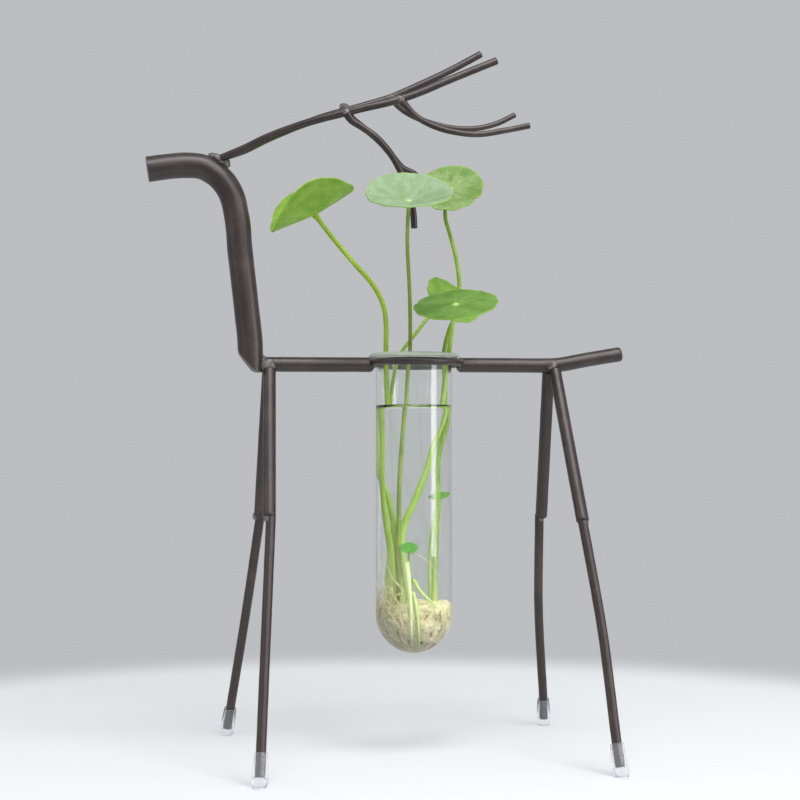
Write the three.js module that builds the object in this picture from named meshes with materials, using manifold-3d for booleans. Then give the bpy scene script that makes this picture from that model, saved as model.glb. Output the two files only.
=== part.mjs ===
// A desk-top vase: a stylised deer bent and welded from dark iron rod, whose back carries a
// ring, a glass tube that hangs in the ring by its flared lip, and a pennywort plant in water.
//
// Millimetres. X runs from the muzzle to the tail, Y from the near flank to the far flank, and
// Z up from the table. The glass tube's axis is upright at X = 0, Y = 0 of the inner group,
// which the end of the file moves so that the whole part is centred over its origin.
import * as THREE from 'three';
import { mergeVertices } from 'three/addons/utils/BufferGeometryUtils.js';
import Module from 'manifold-3d';

const wasm = await Module();
wasm.setup();

// Clearances
const WELD_GAP = 0.3; // between two rods that are welded face to face
const LIP_GAP = 0.3; // between the glass lip and the ring that carries it
const CAP_GAP = 0.3; // between a foot cap and the leg inside it
const STEM_GAP = 0.3; // between a leaf stalk and the leaf or the crown that it joins

// Glass tube
const TUBE_DIAMETER = 30;
const TUBE_WALL = 1.2;
const TUBE_LENGTH = 117.4;
const LIP_OVERHANG = 2.7; // how far the lip stands out past the tube
const LIP_HEIGHT = 1.8;

// Ring
const RING_WIRE = 2.9;
const RING_PLAY = 1.1; // all round, between the ring's inside and the tube
const RING_OFFSET = 0.7; // the hand-bent ring is not quite centred on the tube
const RING_RISE = 0.7; // the ring's middle lies this much above the back rod's

// Back rod
const BACK_HEIGHT = 152.5; // at the ring
const BACK_SLOPE = 0.4; // degrees, the rump end is the higher one
const BACK_DIAMETER = 5.8;
const BACK_FRONT = -59.5;
const RUMP = 56.5; // where the back rod turns up into the tail
const TAIL_LENGTH = 29.2;
const TAIL_RISE = 9.7; // degrees

// Neck and head, one bent bar; its points are measured from the middle of its foot
const NECK_DIAMETER = 9.8;
const NECK_FOOT = -64.4;
const NECK_DROP = 3.5; // how far the neck's foot reaches below the back rod's middle
const NECK_POINTS = [
  [0, 0],
  [-0.2, 11],
  [-1.5, 23.2],
  [-2.9, 35.4],
  [-4.3, 47.9],
  [-5.1, 57.2],
  [-5.8, 61.5],
  [-8, 69.6],
  [-11.7, 74.9],
  [-15, 77.4],
  [-19.1, 79.3],
  [-25, 79.7],
  [-30.4, 79.2],
  [-39.9, 77.7],
];
const NECK_FOOT_CUT = 50; // degrees, the slant of the cut across the front of the foot
const NECK_FOOT_CUT_REACH = 1.4; // from the foot's middle to that cut, along the bottom

// Legs
const THIGH_DIAMETER = 4.9;
const SHIN_DIAMETER = 3.7;
const KNEE_BEAD = 2.75; // radius of the weld bead at a knee
const FRONT_STANCE = 112.3; // between the middles of the two front feet
const FRONT_STANCE_SHIFT = 1.35; // how far the middle between them lies towards the far side
const REAR_STANCE = 117.1;
const REAR_STANCE_SHIFT = -1.25;
const NEAR_FRONT_Y = FRONT_STANCE_SHIFT - FRONT_STANCE / 2;
const FAR_FRONT_Y = FRONT_STANCE_SHIFT + FRONT_STANCE / 2;
const NEAR_REAR_Y = REAR_STANCE_SHIFT - REAR_STANCE / 2;
const FAR_REAR_Y = REAR_STANCE_SHIFT + REAR_STANCE / 2;
const LEGS = [
  {
    name: 'near_front',
    top: [-57.3, -2.5, -3.8],
    knee: [-59.6, 0.456 * NEAR_FRONT_Y, 93.9],
    shin: [-59, 0.456 * NEAR_FRONT_Y, 93.5],
    foot: [-65.9, NEAR_FRONT_Y],
    bow: [0, 0],
    bead: [-0.2, 0.3, 0.5],
  },
  {
    name: 'far_front',
    top: [-57.3, 2.5, -3.8],
    knee: [-57.7, 0.504 * FAR_FRONT_Y, 92],
    shin: [-57.7, 0.504 * FAR_FRONT_Y, 91.6],
    foot: [-68.7, FAR_FRONT_Y],
    bow: [0.3, 0],
    bead: [-0.9, 0, 0.3],
  },
  {
    name: 'near_rear',
    top: [56.9, -2.5, -1.8],
    knee: [59.4, 0.527 * NEAR_REAR_Y, 91.6],
    shin: [59.4, 0.527 * NEAR_REAR_Y, 91.2],
    foot: [65, NEAR_REAR_Y],
    bow: [1.1, 0],
    bead: [0.5, -0.4, 0.4],
  },
  {
    name: 'far_rear',
    top: [55.6, 2.5, -4.8],
    knee: [60.7, 0.55 * FAR_REAR_Y, 91.3],
    shin: [59.9, 0.55 * FAR_REAR_Y, 91.1],
    foot: [68.8, FAR_REAR_Y],
    bow: [-1.2, 0],
    bead: [0.4, 0, 0.9],
  },
];

// Foot caps, soft clear sleeves
const CAP_WALL = 0.8;
const CAP_LENGTH = 12.4;
const CAP_PAD = 3.4; // solid foot below the end of the leg

// Antlers, measured from the middle of their root on top of the head
const BEAM_DIAMETER = 2.9;
const LOW_TINE_DIAMETER = 2.7;
const HIGH_TINE_DIAMETER = 2.4;
const ANTLER_ROOT = [-76.2, 0, 79.4];
const ANTLER_CLEARANCE = 1.3; // between a lifted tube's lip and the rods on either side of it
const ANTLERS = [
  {
    name: 'near_antler',
    side: -1,
    beam: [[0.2, 0.12, -0.3], [8.7, 0.34, 3], [18.3, 0.54, 7.3], [32.7, 0.78, 12.2], [43.5, 0.9, 15],
      [53.1, 0.98, 17.5], [63, 1, 20.1], [72.9, 1, 23.6], [85.2, 1, 29.2], [105, 1, 38]],
    low_tine: [[46.1, 0.93, 15.9], [48.4, 0.94, 12.6], [52, 0.97, 10.2], [57.1, 1, 6.6], [61.8, 1.02, 1.7],
      [64.5, 1.02, -2.1], [67.2, 1.02, -7.1], [69.8, 1.02, -13.7], [71.7, 1.02, -20.9], [72.3, 1.02, -28.3]],
    high_tine: [[66.8, 1, 21.4], [69.9, 1.01, 18], [72.9, 1.02, 15], [77.1, 1.03, 12.5], [84.1, 1.05, 10],
      [96.3, 1.07, 8.6], [108.6, 1.1, 10.6], [117.5, 1.12, 12.6]],
  },
  {
    name: 'far_antler',
    side: 1,
    beam: [[-0.2, 0.12, 0.4], [9.9, 0.34, 4.9], [20.6, 0.54, 11.1], [40.9, 0.78, 20.7], [59.7, 0.98, 27.5],
      [70.4, 1, 31.2], [81.1, 1, 36.2], [94.2, 1, 42.8], [108.6, 1, 51]],
    low_tine: [[51, 0.9, 26.2], [54.4, 0.93, 21.9], [59.9, 0.97, 17.8], [66.2, 1, 12.8], [71.3, 1.02, 7.4],
      [75.9, 1.02, 2.4], [80.9, 1.02, 0], [84, 1.02, -5], [85, 1.02, -11.7]],
    high_tine: [[70.8, 1, 31.4], [75.4, 1.01, 26.6], [83, 1.02, 22.9], [93.4, 1.05, 20.3],
      [101.1, 1.07, 19.8], [108.8, 1.08, 20.6], [116.4, 1.1, 23], [123.7, 1.12, 26.8]],
  },
];
const ROOT_BEAD = [3.4, 4.2, 2.1]; // half sizes of the weld bead that holds both antlers

// Plant. Inside the tube a stalk's points are [x, y, height] in percent of the bore's radius
// and of the tube's inner height; above the mouth they are millimetres from the mouth's middle.
const CROWN_SIZE = [8.4, 5.6, 3]; // half sizes of the crown that the stalks grow from
const CROWN_HEIGHT = 17; // percent of the tube's inner height
const LEAF_THICKNESS = 0.8;
const LEAF_LOBES = 12;
const SHOOTS = [
  {
    name: 'head_side',
    stalk: 1.5,
    inside: [[-45, 17, CROWN_HEIGHT + 2], [-48, 14, 34], [-58, 12, 42], [-71, 12, 58], [-71, 10, 68],
      [-75, 7, 82], [-78, 13, 94]],
    above: [[-10.8, 2.1, 1.5], [-10.8, 2.2, 12.6], [-11.8, 2.3, 19.3], [-15.5, 3, 26.9], [-23.5, 4.6, 36.4],
      [-32.1, 7.2, 47.5], [-38, 9.3, 56.5]],
    leaf: { radius: 18.4, cup: 8, fold: 13, faces: [-0.482, -0.371, 0.794], scallop: 0.04, turn: 10 },
  },
  {
    name: 'near_side',
    stalk: 1.45,
    inside: [[-31, -15, CROWN_HEIGHT + 3], [-41, -21, 35], [-42, -28, 44], [-44, -43, 58], [-32, -52, 83],
      [-25, -48, 95.5]],
    above: [[-2.8, -6.5, 1], [-3, -8, 10.6], [-3.4, -9.4, 20], [-4.8, -14.5, 29.4], [-7, -23, 39.5],
      [-8.7, -32.5, 47.4], [-9.2, -37.8, 54.2]],
    leaf: { radius: 16.2, cup: 12, fold: 4, faces: [-0.099, -0.528, 0.843], scallop: 0.015, turn: 40 },
  },
  {
    name: 'top',
    stalk: 1.3,
    inside: [[42, -23, CROWN_HEIGHT + 0.5], [44, -28, 30], [47, -32, 41], [51, -35, 51], [50, -32, 62],
      [59, -31, 69], [72, -29, 74], [88, -25, 81], [89, -19, 85.5], [88.5, -10, 91.5], [87.5, -5, 96]],
    above: [[12.2, -0.2, 1.6], [14.4, 0.2, 10], [17, 0.4, 16], [18.6, 0.7, 26.6], [17.5, 0.9, 37.6],
      [14.8, 1.4, 48.6], [13.2, 1.7, 54.5], [13.3, 1.6, 59.7], [15.3, 1.2, 66]],
    leaf: { radius: 12.9, cup: 3, fold: 0, faces: [-0.251, -0.732, 0.633], scallop: 0.035, turn: 20 },
  },
  {
    name: 'tail_side',
    stalk: 1.8,
    inside: [[-17, 10, CROWN_HEIGHT + 1.5], [-22, 14, 29.5], [-21, 12, 41], [4, 0, 51], [30, -8, 62],
      [43, -13, 69], [59, -19, 74], [73.5, -29.5, 81], [78, -33, 85.5], [82.5, -36, 91.5], [83.5, -38, 96]],
    above: [[13, -5.9, 1.2], [13, -8.6, 6], [12.8, -13, 11], [12.6, -17.5, 14.8], [12.3, -21.5, 17.5]],
    leaf: { radius: 16.1, cup: 2, fold: 2, faces: [-0.175, -0.429, 0.886], scallop: 0.03, turn: 0 },
  },
  {
    name: 'far_side',
    stalk: 1.45,
    inside: [[-18, 31, CROWN_HEIGHT + 0.5], [-22, 36, 22], [-31, 37, 32], [-33, 37, 41], [-43, 38, 51],
      [-61, 46, 60.5], [-62, 47, 82], [-56, 47, 88], [-45, 46, 96]],
    above: [[-3.4, 6.4, 1.6], [2.3, 7.5, 8.8], [7.6, 9.8, 15.1], [12.9, 13, 19], [18, 16, 22]],
    leaf: { radius: 12.8, cup: 2, fold: 0, faces: [0.422, -0.663, 0.618], scallop: 0.04, turn: 30 },
  },
];
const YOUNG_SHOOTS = [
  {
    name: 'young_tail_side',
    stalk: 1,
    inside: [[35, 12, CROWN_HEIGHT + 1], [36, 14, 33], [43, 5, 44], [57, 0, 51.5]],
    leaf: { radius: 3.3, cup: 14, fold: 0, faces: [-0.2, -0.15, 0.97], scallop: 0.07, turn: 0 },
  },
  {
    name: 'young_head_side',
    stalk: 1,
    inside: [[-6, -16, CROWN_HEIGHT + 1], [-19, -40, 29], [-21, -46, 34.5]],
    leaf: { radius: 2.9, cup: 14, fold: 0, faces: [-0.1, -0.3, 0.95], scallop: 0.07, turn: 0 },
  },
];
const ROOT_COUNT = 13;
const ROOT_DIAMETER = 0.7;

// Colours and finishes
const IRON = { color: 0x3b322c, roughness: 0.5, metalness: 0.55 };
const GLASS = { color: 0xe4efea, roughness: 0.04, metalness: 0, transparent: true, opacity: 0.3 };
const CLEAR_RUBBER = { color: 0xd6dade, roughness: 0.25, metalness: 0, transparent: true, opacity: 0.6 };
const LEAF = { color: 0x74a847, roughness: 0.5, metalness: 0 };
const STALK = { color: 0x8db43e, roughness: 0.45, metalness: 0 };
const ROOTS = { color: 0xd9cfa0, roughness: 0.7, metalness: 0 };

// Sizes that follow from the ones above
const tubeRadius = TUBE_DIAMETER / 2;
const boreRadius = tubeRadius - TUBE_WALL;
const lipRadius = tubeRadius + LIP_OVERHANG;
const ringInside = tubeRadius + RING_PLAY;
const ringRadius = ringInside + RING_WIRE / 2;
const ringZ = BACK_HEIGHT + RING_RISE;
const backAt = (x) => BACK_HEIGHT + x * Math.tan(THREE.MathUtils.degToRad(BACK_SLOPE));
const ringBite = ringRadius + 0.35 * RING_WIRE; // the back rods reach this far into the ring's wire
const lipZ = ringZ + RING_WIRE / 2 + LIP_GAP;
const mouthZ = lipZ + LIP_HEIGHT;
const tubeFloorZ = mouthZ - TUBE_LENGTH + TUBE_WALL;
const neckFootZ = BACK_HEIGHT - NECK_DROP;
const antlerReach = lipRadius + ANTLER_CLEARANCE + BEAM_DIAMETER / 2;
const capBore = SHIN_DIAMETER / 2 + CAP_GAP;
const capRadius = capBore + CAP_WALL;
const crownZ = tubeFloorZ + (mouthZ - tubeFloorZ) * CROWN_HEIGHT / 100;

// Shapes

function point(x, y, z) {
  return new THREE.Vector3(x, y, z);
}

// A closed mesh as a solid that can be cut and joined
function solidFrom(geometry) {
  const bare = geometry.index ? geometry.toNonIndexed() : geometry.clone();
  bare.deleteAttribute('normal');
  bare.deleteAttribute('uv');
  const merged = mergeVertices(bare, 1e-4);
  const vertProperties = new Float32Array(merged.attributes.position.array);
  const triVerts = new Uint32Array(merged.index.array);
  return new wasm.Manifold(new wasm.Mesh({ numProp: 3, vertProperties, triVerts }));
}

// The one largest body of a solid, without the slivers that a cut leaves
function largest(solid) {
  const bodies = solid.decompose();
  return bodies.reduce((best, body) => (body.volume() > best.volume() ? body : best));
}

function geometryFrom(solid) {
  const mesh = largest(solid).getMesh();
  const geometry = new THREE.BufferGeometry();
  geometry.setAttribute('position', new THREE.BufferAttribute(mesh.vertProperties, 3));
  geometry.setIndex(new THREE.BufferAttribute(mesh.triVerts, 1));
  return geometry;
}

function circle(radius, sides) {
  const corners = [];
  for (let i = 0; i < sides; i += 1) {
    const angle = 2 * Math.PI * i / sides;
    corners.push(new THREE.Vector2(radius * Math.cos(angle), radius * Math.sin(angle)));
  }
  return new THREE.Shape(corners);
}

// A round rod along smooth points, made fatter and longer by grow on every side
function rod(points, diameter, sides, steps, grow = 0) {
  const ends = points.map((p) => p.clone());
  const first = points[0].clone().sub(points[1]).setLength(grow);
  const last = points[points.length - 1].clone().sub(points[points.length - 2]).setLength(grow);
  ends[0].add(first);
  ends[ends.length - 1].add(last);
  const path = ends.length > 2 ? new THREE.CatmullRomCurve3(ends) : new THREE.LineCurve3(ends[0], ends[1]);
  const options = { steps, extrudePath: path, bevelEnabled: false };
  return solidFrom(new THREE.ExtrudeGeometry(circle(diameter / 2 + grow, sides), options));
}

// An egg-shaped bead with half sizes given along X, Y and Z
function bead(centre, halves, grow = 0) {
  const ball = new THREE.SphereGeometry(1, 12, 8);
  ball.scale(halves[0] + grow, halves[1] + grow, halves[2] + grow);
  ball.translate(centre.x, centre.y, centre.z);
  return solidFrom(ball);
}

// A turned shape, whose profile is [radius, height] from end to end, along an axis from base
function turned(profile, segments, base, direction) {
  const geometry = new THREE.LatheGeometry(profile.map(([r, z]) => new THREE.Vector2(r, z)), segments);
  const turn = new THREE.Quaternion().setFromUnitVectors(point(0, 1, 0), direction.clone().normalize());
  geometry.applyQuaternion(turn);
  geometry.translate(base.x, base.y, base.z);
  return solidFrom(geometry);
}

function arc(centreR, centreZ, radius, fromDegrees, toDegrees, steps) {
  const result = [];
  for (let i = 0; i <= steps; i += 1) {
    const angle = THREE.MathUtils.degToRad(fromDegrees + (toDegrees - fromDegrees) * i / steps);
    result.push([centreR + radius * Math.cos(angle), centreZ + radius * Math.sin(angle)]);
  }
  return result;
}

const parts = new THREE.Group();

function addPart(name, solid, finish) {
  const mesh = new THREE.Mesh(geometryFrom(solid), new THREE.MeshStandardMaterial(finish));
  mesh.name = name;
  parts.add(mesh);
}

// Frame: neck, back, ring and tail

function neckBar(grow = 0) {
  const route = NECK_POINTS.map(([x, z]) => point(NECK_FOOT + x, 0, neckFootZ + z));
  const bar = rod(route, NECK_DIAMETER, 16, 26, grow);
  const size = 3 * NECK_DIAMETER;
  const waste = new THREE.BoxGeometry(size, size, size);
  waste.translate(-size / 2, 0, -size / 2);
  waste.rotateY(THREE.MathUtils.degToRad(NECK_FOOT_CUT));
  waste.translate(NECK_FOOT + NECK_FOOT_CUT_REACH - grow, 0, neckFootZ - grow);
  return bar.subtract(solidFrom(waste));
}

function ring(grow = 0) {
  const torus = new THREE.TorusGeometry(ringRadius, RING_WIRE / 2 + grow, 9, 36);
  torus.translate(RING_OFFSET, 0, ringZ);
  return solidFrom(torus);
}

function backFront(grow = 0) {
  const end = RING_OFFSET - ringBite;
  const route = [point(BACK_FRONT, 0, backAt(BACK_FRONT)), point(end, 0, backAt(end))];
  return rod(route, BACK_DIAMETER, 12, 2, grow);
}

function backRear(grow = 0) {
  const start = RING_OFFSET + ringBite;
  const rise = THREE.MathUtils.degToRad(TAIL_RISE);
  const along = (length, share) => point(
    RUMP + length * Math.cos(rise * share), 0, backAt(RUMP) + length * Math.sin(rise * share),
  );
  const route = [
    point(start, 0, backAt(start)),
    point((start + RUMP) / 2, 0, backAt((start + RUMP) / 2)),
    point(RUMP - BACK_DIAMETER / 2, 0, backAt(RUMP - BACK_DIAMETER / 2)),
    along(BACK_DIAMETER / 2, 0.6),
    along(TAIL_LENGTH / 2, 1),
    along(TAIL_LENGTH, 1),
  ];
  return rod(route, BACK_DIAMETER, 12, 14, grow);
}

addPart('neck_bar', neckBar(), IRON);
addPart('tube_ring', ring(), IRON);
addPart('back_rod_front', backFront().subtract(neckBar(WELD_GAP)).subtract(ring(WELD_GAP)), IRON);
addPart('back_rod_tail', backRear().subtract(ring(WELD_GAP)), IRON);

// Legs: a thick thigh coped to the back rod, a thinner shin welded on at the knee, and a cap

function legPoints(leg) {
  const [topX, topY, topDrop] = leg.top;
  const top = point(topX, topY, backAt(topX) + topDrop);
  const knee = point(...leg.knee);
  const shin = point(...leg.shin);
  const foot = point(leg.foot[0], leg.foot[1], 0);
  const up = top.clone().sub(knee).normalize();
  top.addScaledVector(up, BACK_DIAMETER / 2);
  const shinAxis = shin.clone().sub(foot).normalize();
  const shinEnd = foot.clone().addScaledVector(shinAxis, CAP_PAD + CAP_GAP);
  const ankle = foot.clone().addScaledVector(shinAxis, CAP_LENGTH);
  const bowed = shin.clone().lerp(ankle, 0.5).add(point(leg.bow[0], leg.bow[1], 0));
  const shinRoute = [shin, bowed, ankle, shinEnd];
  return { top, knee, shinRoute, shinAxis, foot };
}

function thigh(leg, grow = 0) {
  const { top, knee } = legPoints(leg);
  const bar = rod([top, knee], THIGH_DIAMETER, 12, 2, grow);
  const halves = [KNEE_BEAD, KNEE_BEAD, KNEE_BEAD * 0.7];
  return bar.add(bead(knee.clone().add(point(...leg.bead)), halves, grow));
}

function footCap(leg) {
  const { foot, shinAxis } = legPoints(leg);
  const profile = [
    [0, CAP_PAD],
    [capBore, CAP_PAD],
    [capBore, CAP_LENGTH],
    [capRadius, CAP_LENGTH],
    [capRadius, -capRadius],
    [0, -capRadius],
  ];
  const sleeve = turned(profile.reverse(), 20, foot, shinAxis);
  const size = 2 * CAP_LENGTH;
  const ground = new THREE.BoxGeometry(size, size, size);
  ground.translate(foot.x, foot.y, -size / 2);
  return sleeve.subtract(solidFrom(ground));
}

LEGS.forEach((leg, index) => {
  const { shinRoute } = legPoints(leg);
  let upper = thigh(leg).subtract(index < 2 ? backFront(WELD_GAP) : backRear(WELD_GAP));
  if (index < 2) {
    upper = upper.subtract(neckBar(WELD_GAP));
  }
  if (index % 2 === 1) {
    upper = upper.subtract(thigh(LEGS[index - 1], WELD_GAP));
  }
  const lower = rod(shinRoute, SHIN_DIAMETER, 10, 10).subtract(thigh(leg, WELD_GAP));
  addPart(`${leg.name}_thigh`, upper, IRON);
  addPart(`${leg.name}_shin`, lower, IRON);
  addPart(`${leg.name}_foot_cap`, footCap(leg), CLEAR_RUBBER);
});

// Antlers: each a main beam with a low and a high tine, spread wide enough for the tube to pass

function antlerRoute(side, points) {
  const [rootX, rootY, rootZ] = ANTLER_ROOT;
  return points.map(([x, share, z]) => (
    point(rootX + x, rootY + side * share * antlerReach, BACK_HEIGHT + rootZ + z)
  ));
}

function beam(antler, grow = 0) {
  return rod(antlerRoute(antler.side, antler.beam), BEAM_DIAMETER, 10, 22, grow);
}

function rootBead(grow = 0) {
  const [rootX, rootY, rootZ] = ANTLER_ROOT;
  return bead(point(rootX, rootY, BACK_HEIGHT + rootZ), ROOT_BEAD, grow);
}

ANTLERS.forEach((antler, index) => {
  let main = beam(antler);
  main = index === 0 ? main.add(rootBead()) : main.subtract(rootBead(WELD_GAP));
  addPart(`${antler.name}_beam`, main.subtract(neckBar(WELD_GAP)), IRON);
  for (const [tine, diameter] of [['low_tine', LOW_TINE_DIAMETER], ['high_tine', HIGH_TINE_DIAMETER]]) {
    const route = antlerRoute(antler.side, antler[tine]);
    const branch = rod(route, diameter, 10, 18).subtract(beam(antler, WELD_GAP));
    addPart(`${antler.name}_${tine}`, branch, IRON);
  }
});

// Glass tube, with a round bottom and a lip that rests on the ring

function glassTube() {
  const bottomZ = tubeFloorZ - TUBE_WALL;
  const centreZ = bottomZ + tubeRadius;
  const flareZ = lipZ - LIP_OVERHANG;
  const profile = [
    ...arc(0, centreZ, tubeRadius, -90, 0, 7),
    [tubeRadius, flareZ],
    [tubeRadius + 0.1 * LIP_OVERHANG, lipZ - 0.35 * LIP_OVERHANG],
    [tubeRadius + 0.35 * LIP_OVERHANG, lipZ],
    [lipRadius - LIP_HEIGHT / 4, lipZ],
    [lipRadius, lipZ + LIP_HEIGHT / 3],
    [lipRadius, mouthZ - LIP_HEIGHT / 3],
    [lipRadius - LIP_HEIGHT / 3, mouthZ],
    [boreRadius + 0.75 * LIP_OVERHANG, mouthZ - 0.1],
    [boreRadius + 0.3 * LIP_OVERHANG, lipZ + 0.3 * LIP_HEIGHT],
    [boreRadius, flareZ],
    ...arc(0, centreZ, boreRadius, 0, -90, 7),
  ];
  profile[0][0] = 0;
  profile[profile.length - 1][0] = 0;
  return turned(profile, 36, point(0, 0, 0), point(0, 0, 1));
}

addPart('glass_tube', glassTube(), GLASS);

// Plant: a crown with roots, and round scalloped leaves on stalks that join under their middle

function insideTube([x, y, height]) {
  const z = tubeFloorZ + (mouthZ - tubeFloorZ) * height / 100;
  return point(boreRadius * x / 100, boreRadius * y / 100, z);
}

function aboveMouth([x, y, height]) {
  return point(x, y, mouthZ + height);
}

// A shallow cone-shaped leaf whose middle is at the end of its stalk; its front and back are
// folded up by the fold angle on top of the cup angle that the whole rim has
function leafBlade(centre, leaf, rings, segments, grow = 0) {
  const slope = Math.tan(THREE.MathUtils.degToRad(leaf.cup));
  const half = LEAF_THICKNESS / 2 + grow;
  const rim = leaf.radius * Math.cos(THREE.MathUtils.degToRad(leaf.cup)) + grow;
  const foldSlope = Math.tan(THREE.MathUtils.degToRad(leaf.fold));
  const lift = (r) => slope * r * (0.75 + 0.25 * r / rim);
  const profile = [[0, -half]];
  for (let i = 1; i <= rings; i += 1) {
    const r = rim * i / rings;
    profile.push([r, lift(r) - half]);
  }
  for (let i = rings; i >= 1; i -= 1) {
    const r = rim * i / rings;
    profile.push([r, lift(r) + half]);
  }
  profile.push([0, half]);
  const points = profile.map(([r, z]) => new THREE.Vector2(r, z));
  const geometry = new THREE.LatheGeometry(points, segments);
  const position = geometry.attributes.position;
  for (let i = 0; i < position.count; i += 1) {
    const x = position.getX(i);
    const z = position.getZ(i);
    const outward = Math.hypot(x, z) / rim;
    const angle = Math.atan2(z, x) + THREE.MathUtils.degToRad(leaf.turn);
    const wave = Math.cos(LEAF_LOBES * angle) + 0.5 * Math.cos((LEAF_LOBES / 2 - 1) * angle);
    const scale = 1 + leaf.scallop * wave * outward ** 4;
    const folded = foldSlope * Math.hypot(x, z) * Math.sin(Math.atan2(z, x)) ** 2;
    position.setXYZ(i, x * scale, position.getY(i) + folded, z * scale);
  }
  const facing = point(...leaf.faces).normalize();
  const turn = new THREE.Quaternion().setFromUnitVectors(point(0, 1, 0), facing);
  geometry.applyQuaternion(turn);
  geometry.translate(centre.x, centre.y, centre.z);
  return solidFrom(geometry);
}

function crown(grow = 0) {
  return bead(point(-0.5, 0.6, crownZ), CROWN_SIZE, grow);
}

// A fine root that leaves the crown at its own angle and lies in the tube's round bottom
function fineRoot(index) {
  const golden = Math.PI * (3 - Math.sqrt(5));
  const angle = index * golden;
  const bowlZ = tubeFloorZ + boreRadius;
  const bowl = boreRadius - 2 * ROOT_DIAMETER;
  const spread = 0.35 + 0.6 * ((index * 7) % ROOT_COUNT) / ROOT_COUNT;
  const at = (turn, outward, share) => {
    const height = -Math.sqrt(Math.max(0, 1 - outward * outward)) * share * bowl;
    const away = outward * bowl;
    return point(away * Math.cos(angle + turn), away * Math.sin(angle + turn), bowlZ + height);
  };
  const start = point(0.3 * boreRadius * Math.cos(angle), 0.2 * boreRadius * Math.sin(angle), crownZ);
  const route = [start, at(0, 0.45, 0.15), at(0.3, 0.5 + 0.4 * spread, 0.45), at(0.7, spread, 0.9)];
  return rod(route, ROOT_DIAMETER, 5, 7);
}

let rootCrown = crown();
for (let i = 0; i < ROOT_COUNT; i += 1) {
  rootCrown = rootCrown.add(fineRoot(i));
}
addPart('root_crown', rootCrown, ROOTS);

for (const shoot of SHOOTS) {
  const route = [...shoot.inside.map(insideTube), ...shoot.above.map(aboveMouth)];
  const centre = route[route.length - 1];
  const stalk = rod(route, shoot.stalk, 7, 30)
    .subtract(crown(STEM_GAP))
    .subtract(leafBlade(centre, shoot.leaf, 3, 24, STEM_GAP));
  addPart(`${shoot.name}_stalk`, stalk, STALK);
  addPart(`${shoot.name}_leaf`, leafBlade(centre, shoot.leaf, 3, 48), LEAF);
}

for (const shoot of YOUNG_SHOOTS) {
  const route = shoot.inside.map(insideTube);
  const stalk = rod(route, shoot.stalk, 6, 12).subtract(crown(STEM_GAP));
  addPart(`${shoot.name}_shoot`, stalk.add(leafBlade(route[route.length - 1], shoot.leaf, 2, 24)), LEAF);
}

// The whole part, centred between the muzzle and the tail
const muzzleX = NECK_FOOT + NECK_POINTS[NECK_POINTS.length - 1][0];
const tailX = RUMP + TAIL_LENGTH * Math.cos(THREE.MathUtils.degToRad(TAIL_RISE));
const vase = new THREE.Group();
parts.position.x = -(muzzleX + tailX) / 2;
vase.add(parts);

export default vase;
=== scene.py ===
import math

import bmesh
import bpy
from bpy.props import FloatProperty, FloatVectorProperty, IntProperty, PointerProperty
from mathutils import Matrix, Vector, noise


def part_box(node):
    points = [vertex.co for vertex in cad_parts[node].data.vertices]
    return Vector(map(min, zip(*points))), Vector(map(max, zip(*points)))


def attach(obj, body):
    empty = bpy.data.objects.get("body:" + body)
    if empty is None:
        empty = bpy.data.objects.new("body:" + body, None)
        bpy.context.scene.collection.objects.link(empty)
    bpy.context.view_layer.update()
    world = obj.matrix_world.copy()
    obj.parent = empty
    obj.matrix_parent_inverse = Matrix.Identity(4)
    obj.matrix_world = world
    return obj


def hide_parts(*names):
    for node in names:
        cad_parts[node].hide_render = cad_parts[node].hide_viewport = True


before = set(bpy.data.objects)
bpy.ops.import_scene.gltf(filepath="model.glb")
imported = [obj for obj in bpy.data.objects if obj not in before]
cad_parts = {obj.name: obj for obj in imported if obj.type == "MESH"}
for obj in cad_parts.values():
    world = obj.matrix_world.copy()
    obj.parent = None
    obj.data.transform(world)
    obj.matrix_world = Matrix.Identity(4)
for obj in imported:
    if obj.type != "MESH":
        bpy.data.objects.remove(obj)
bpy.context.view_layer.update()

bl_info = {
    "name": "Deer vase with a pennywort plant",
    "version": (1, 0, 0),
    "blender": (4, 5, 0),
    "location": "View3D > Sidebar > Deer vase",
    "description": "Builds the iron deer, its glass tube of water and the plant around the packed frame",
    "category": "Add Mesh",
}

MM = 0.001
SHARP = math.radians(42)  # an edge that turns further than this is shaded as a corner
SAME_PLACE = 1e-7  # vertices closer than this are merged

# Places taken from the frame
TUBE_LOW, TUBE_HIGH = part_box("glass_tube")
AXIS_X = (TUBE_LOW.x + TUBE_HIGH.x) / 2
MOUTH_Z = TUBE_HIGH.z / MM
TUBE_BOTTOM_Z = TUBE_LOW.z / MM
LIP_RADIUS = (TUBE_HIGH.y - TUBE_LOW.y) / 2 / MM

# Glass tube
TUBE_RADIUS = 15
TUBE_WALL = 1.2
BORE_RADIUS = TUBE_RADIUS - TUBE_WALL
LIP_HEIGHT = 1.8
LIP_Z = MOUTH_Z - LIP_HEIGHT
LIP_UNDERSIDE = 1.0  # radius of the curve from the wall out to the lip
INNER_FLARE = 3.2  # radius of the curve from the lip into the bore
WALL_RINGS = (80, 105, 130)  # heights that divide the straight wall
BOWL_Z = TUBE_BOTTOM_Z + TUBE_RADIUS  # the middle of the round bottom
FLOOR_Z = TUBE_BOTTOM_Z + TUBE_WALL
WATER_OVERLAP = 0.08  # how far the water reaches into the glass, so that no film of air shows
WATER_RINGS = (75, 95, 115)
SURFACE_RINGS = 18  # rings of the water's surface
SURFACE_CROWDING = 1.4  # above 1, these rings lie closer together towards the middle
MENISCUS_FADE = 1.3  # the water's raised edge falls to a third over this distance

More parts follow.
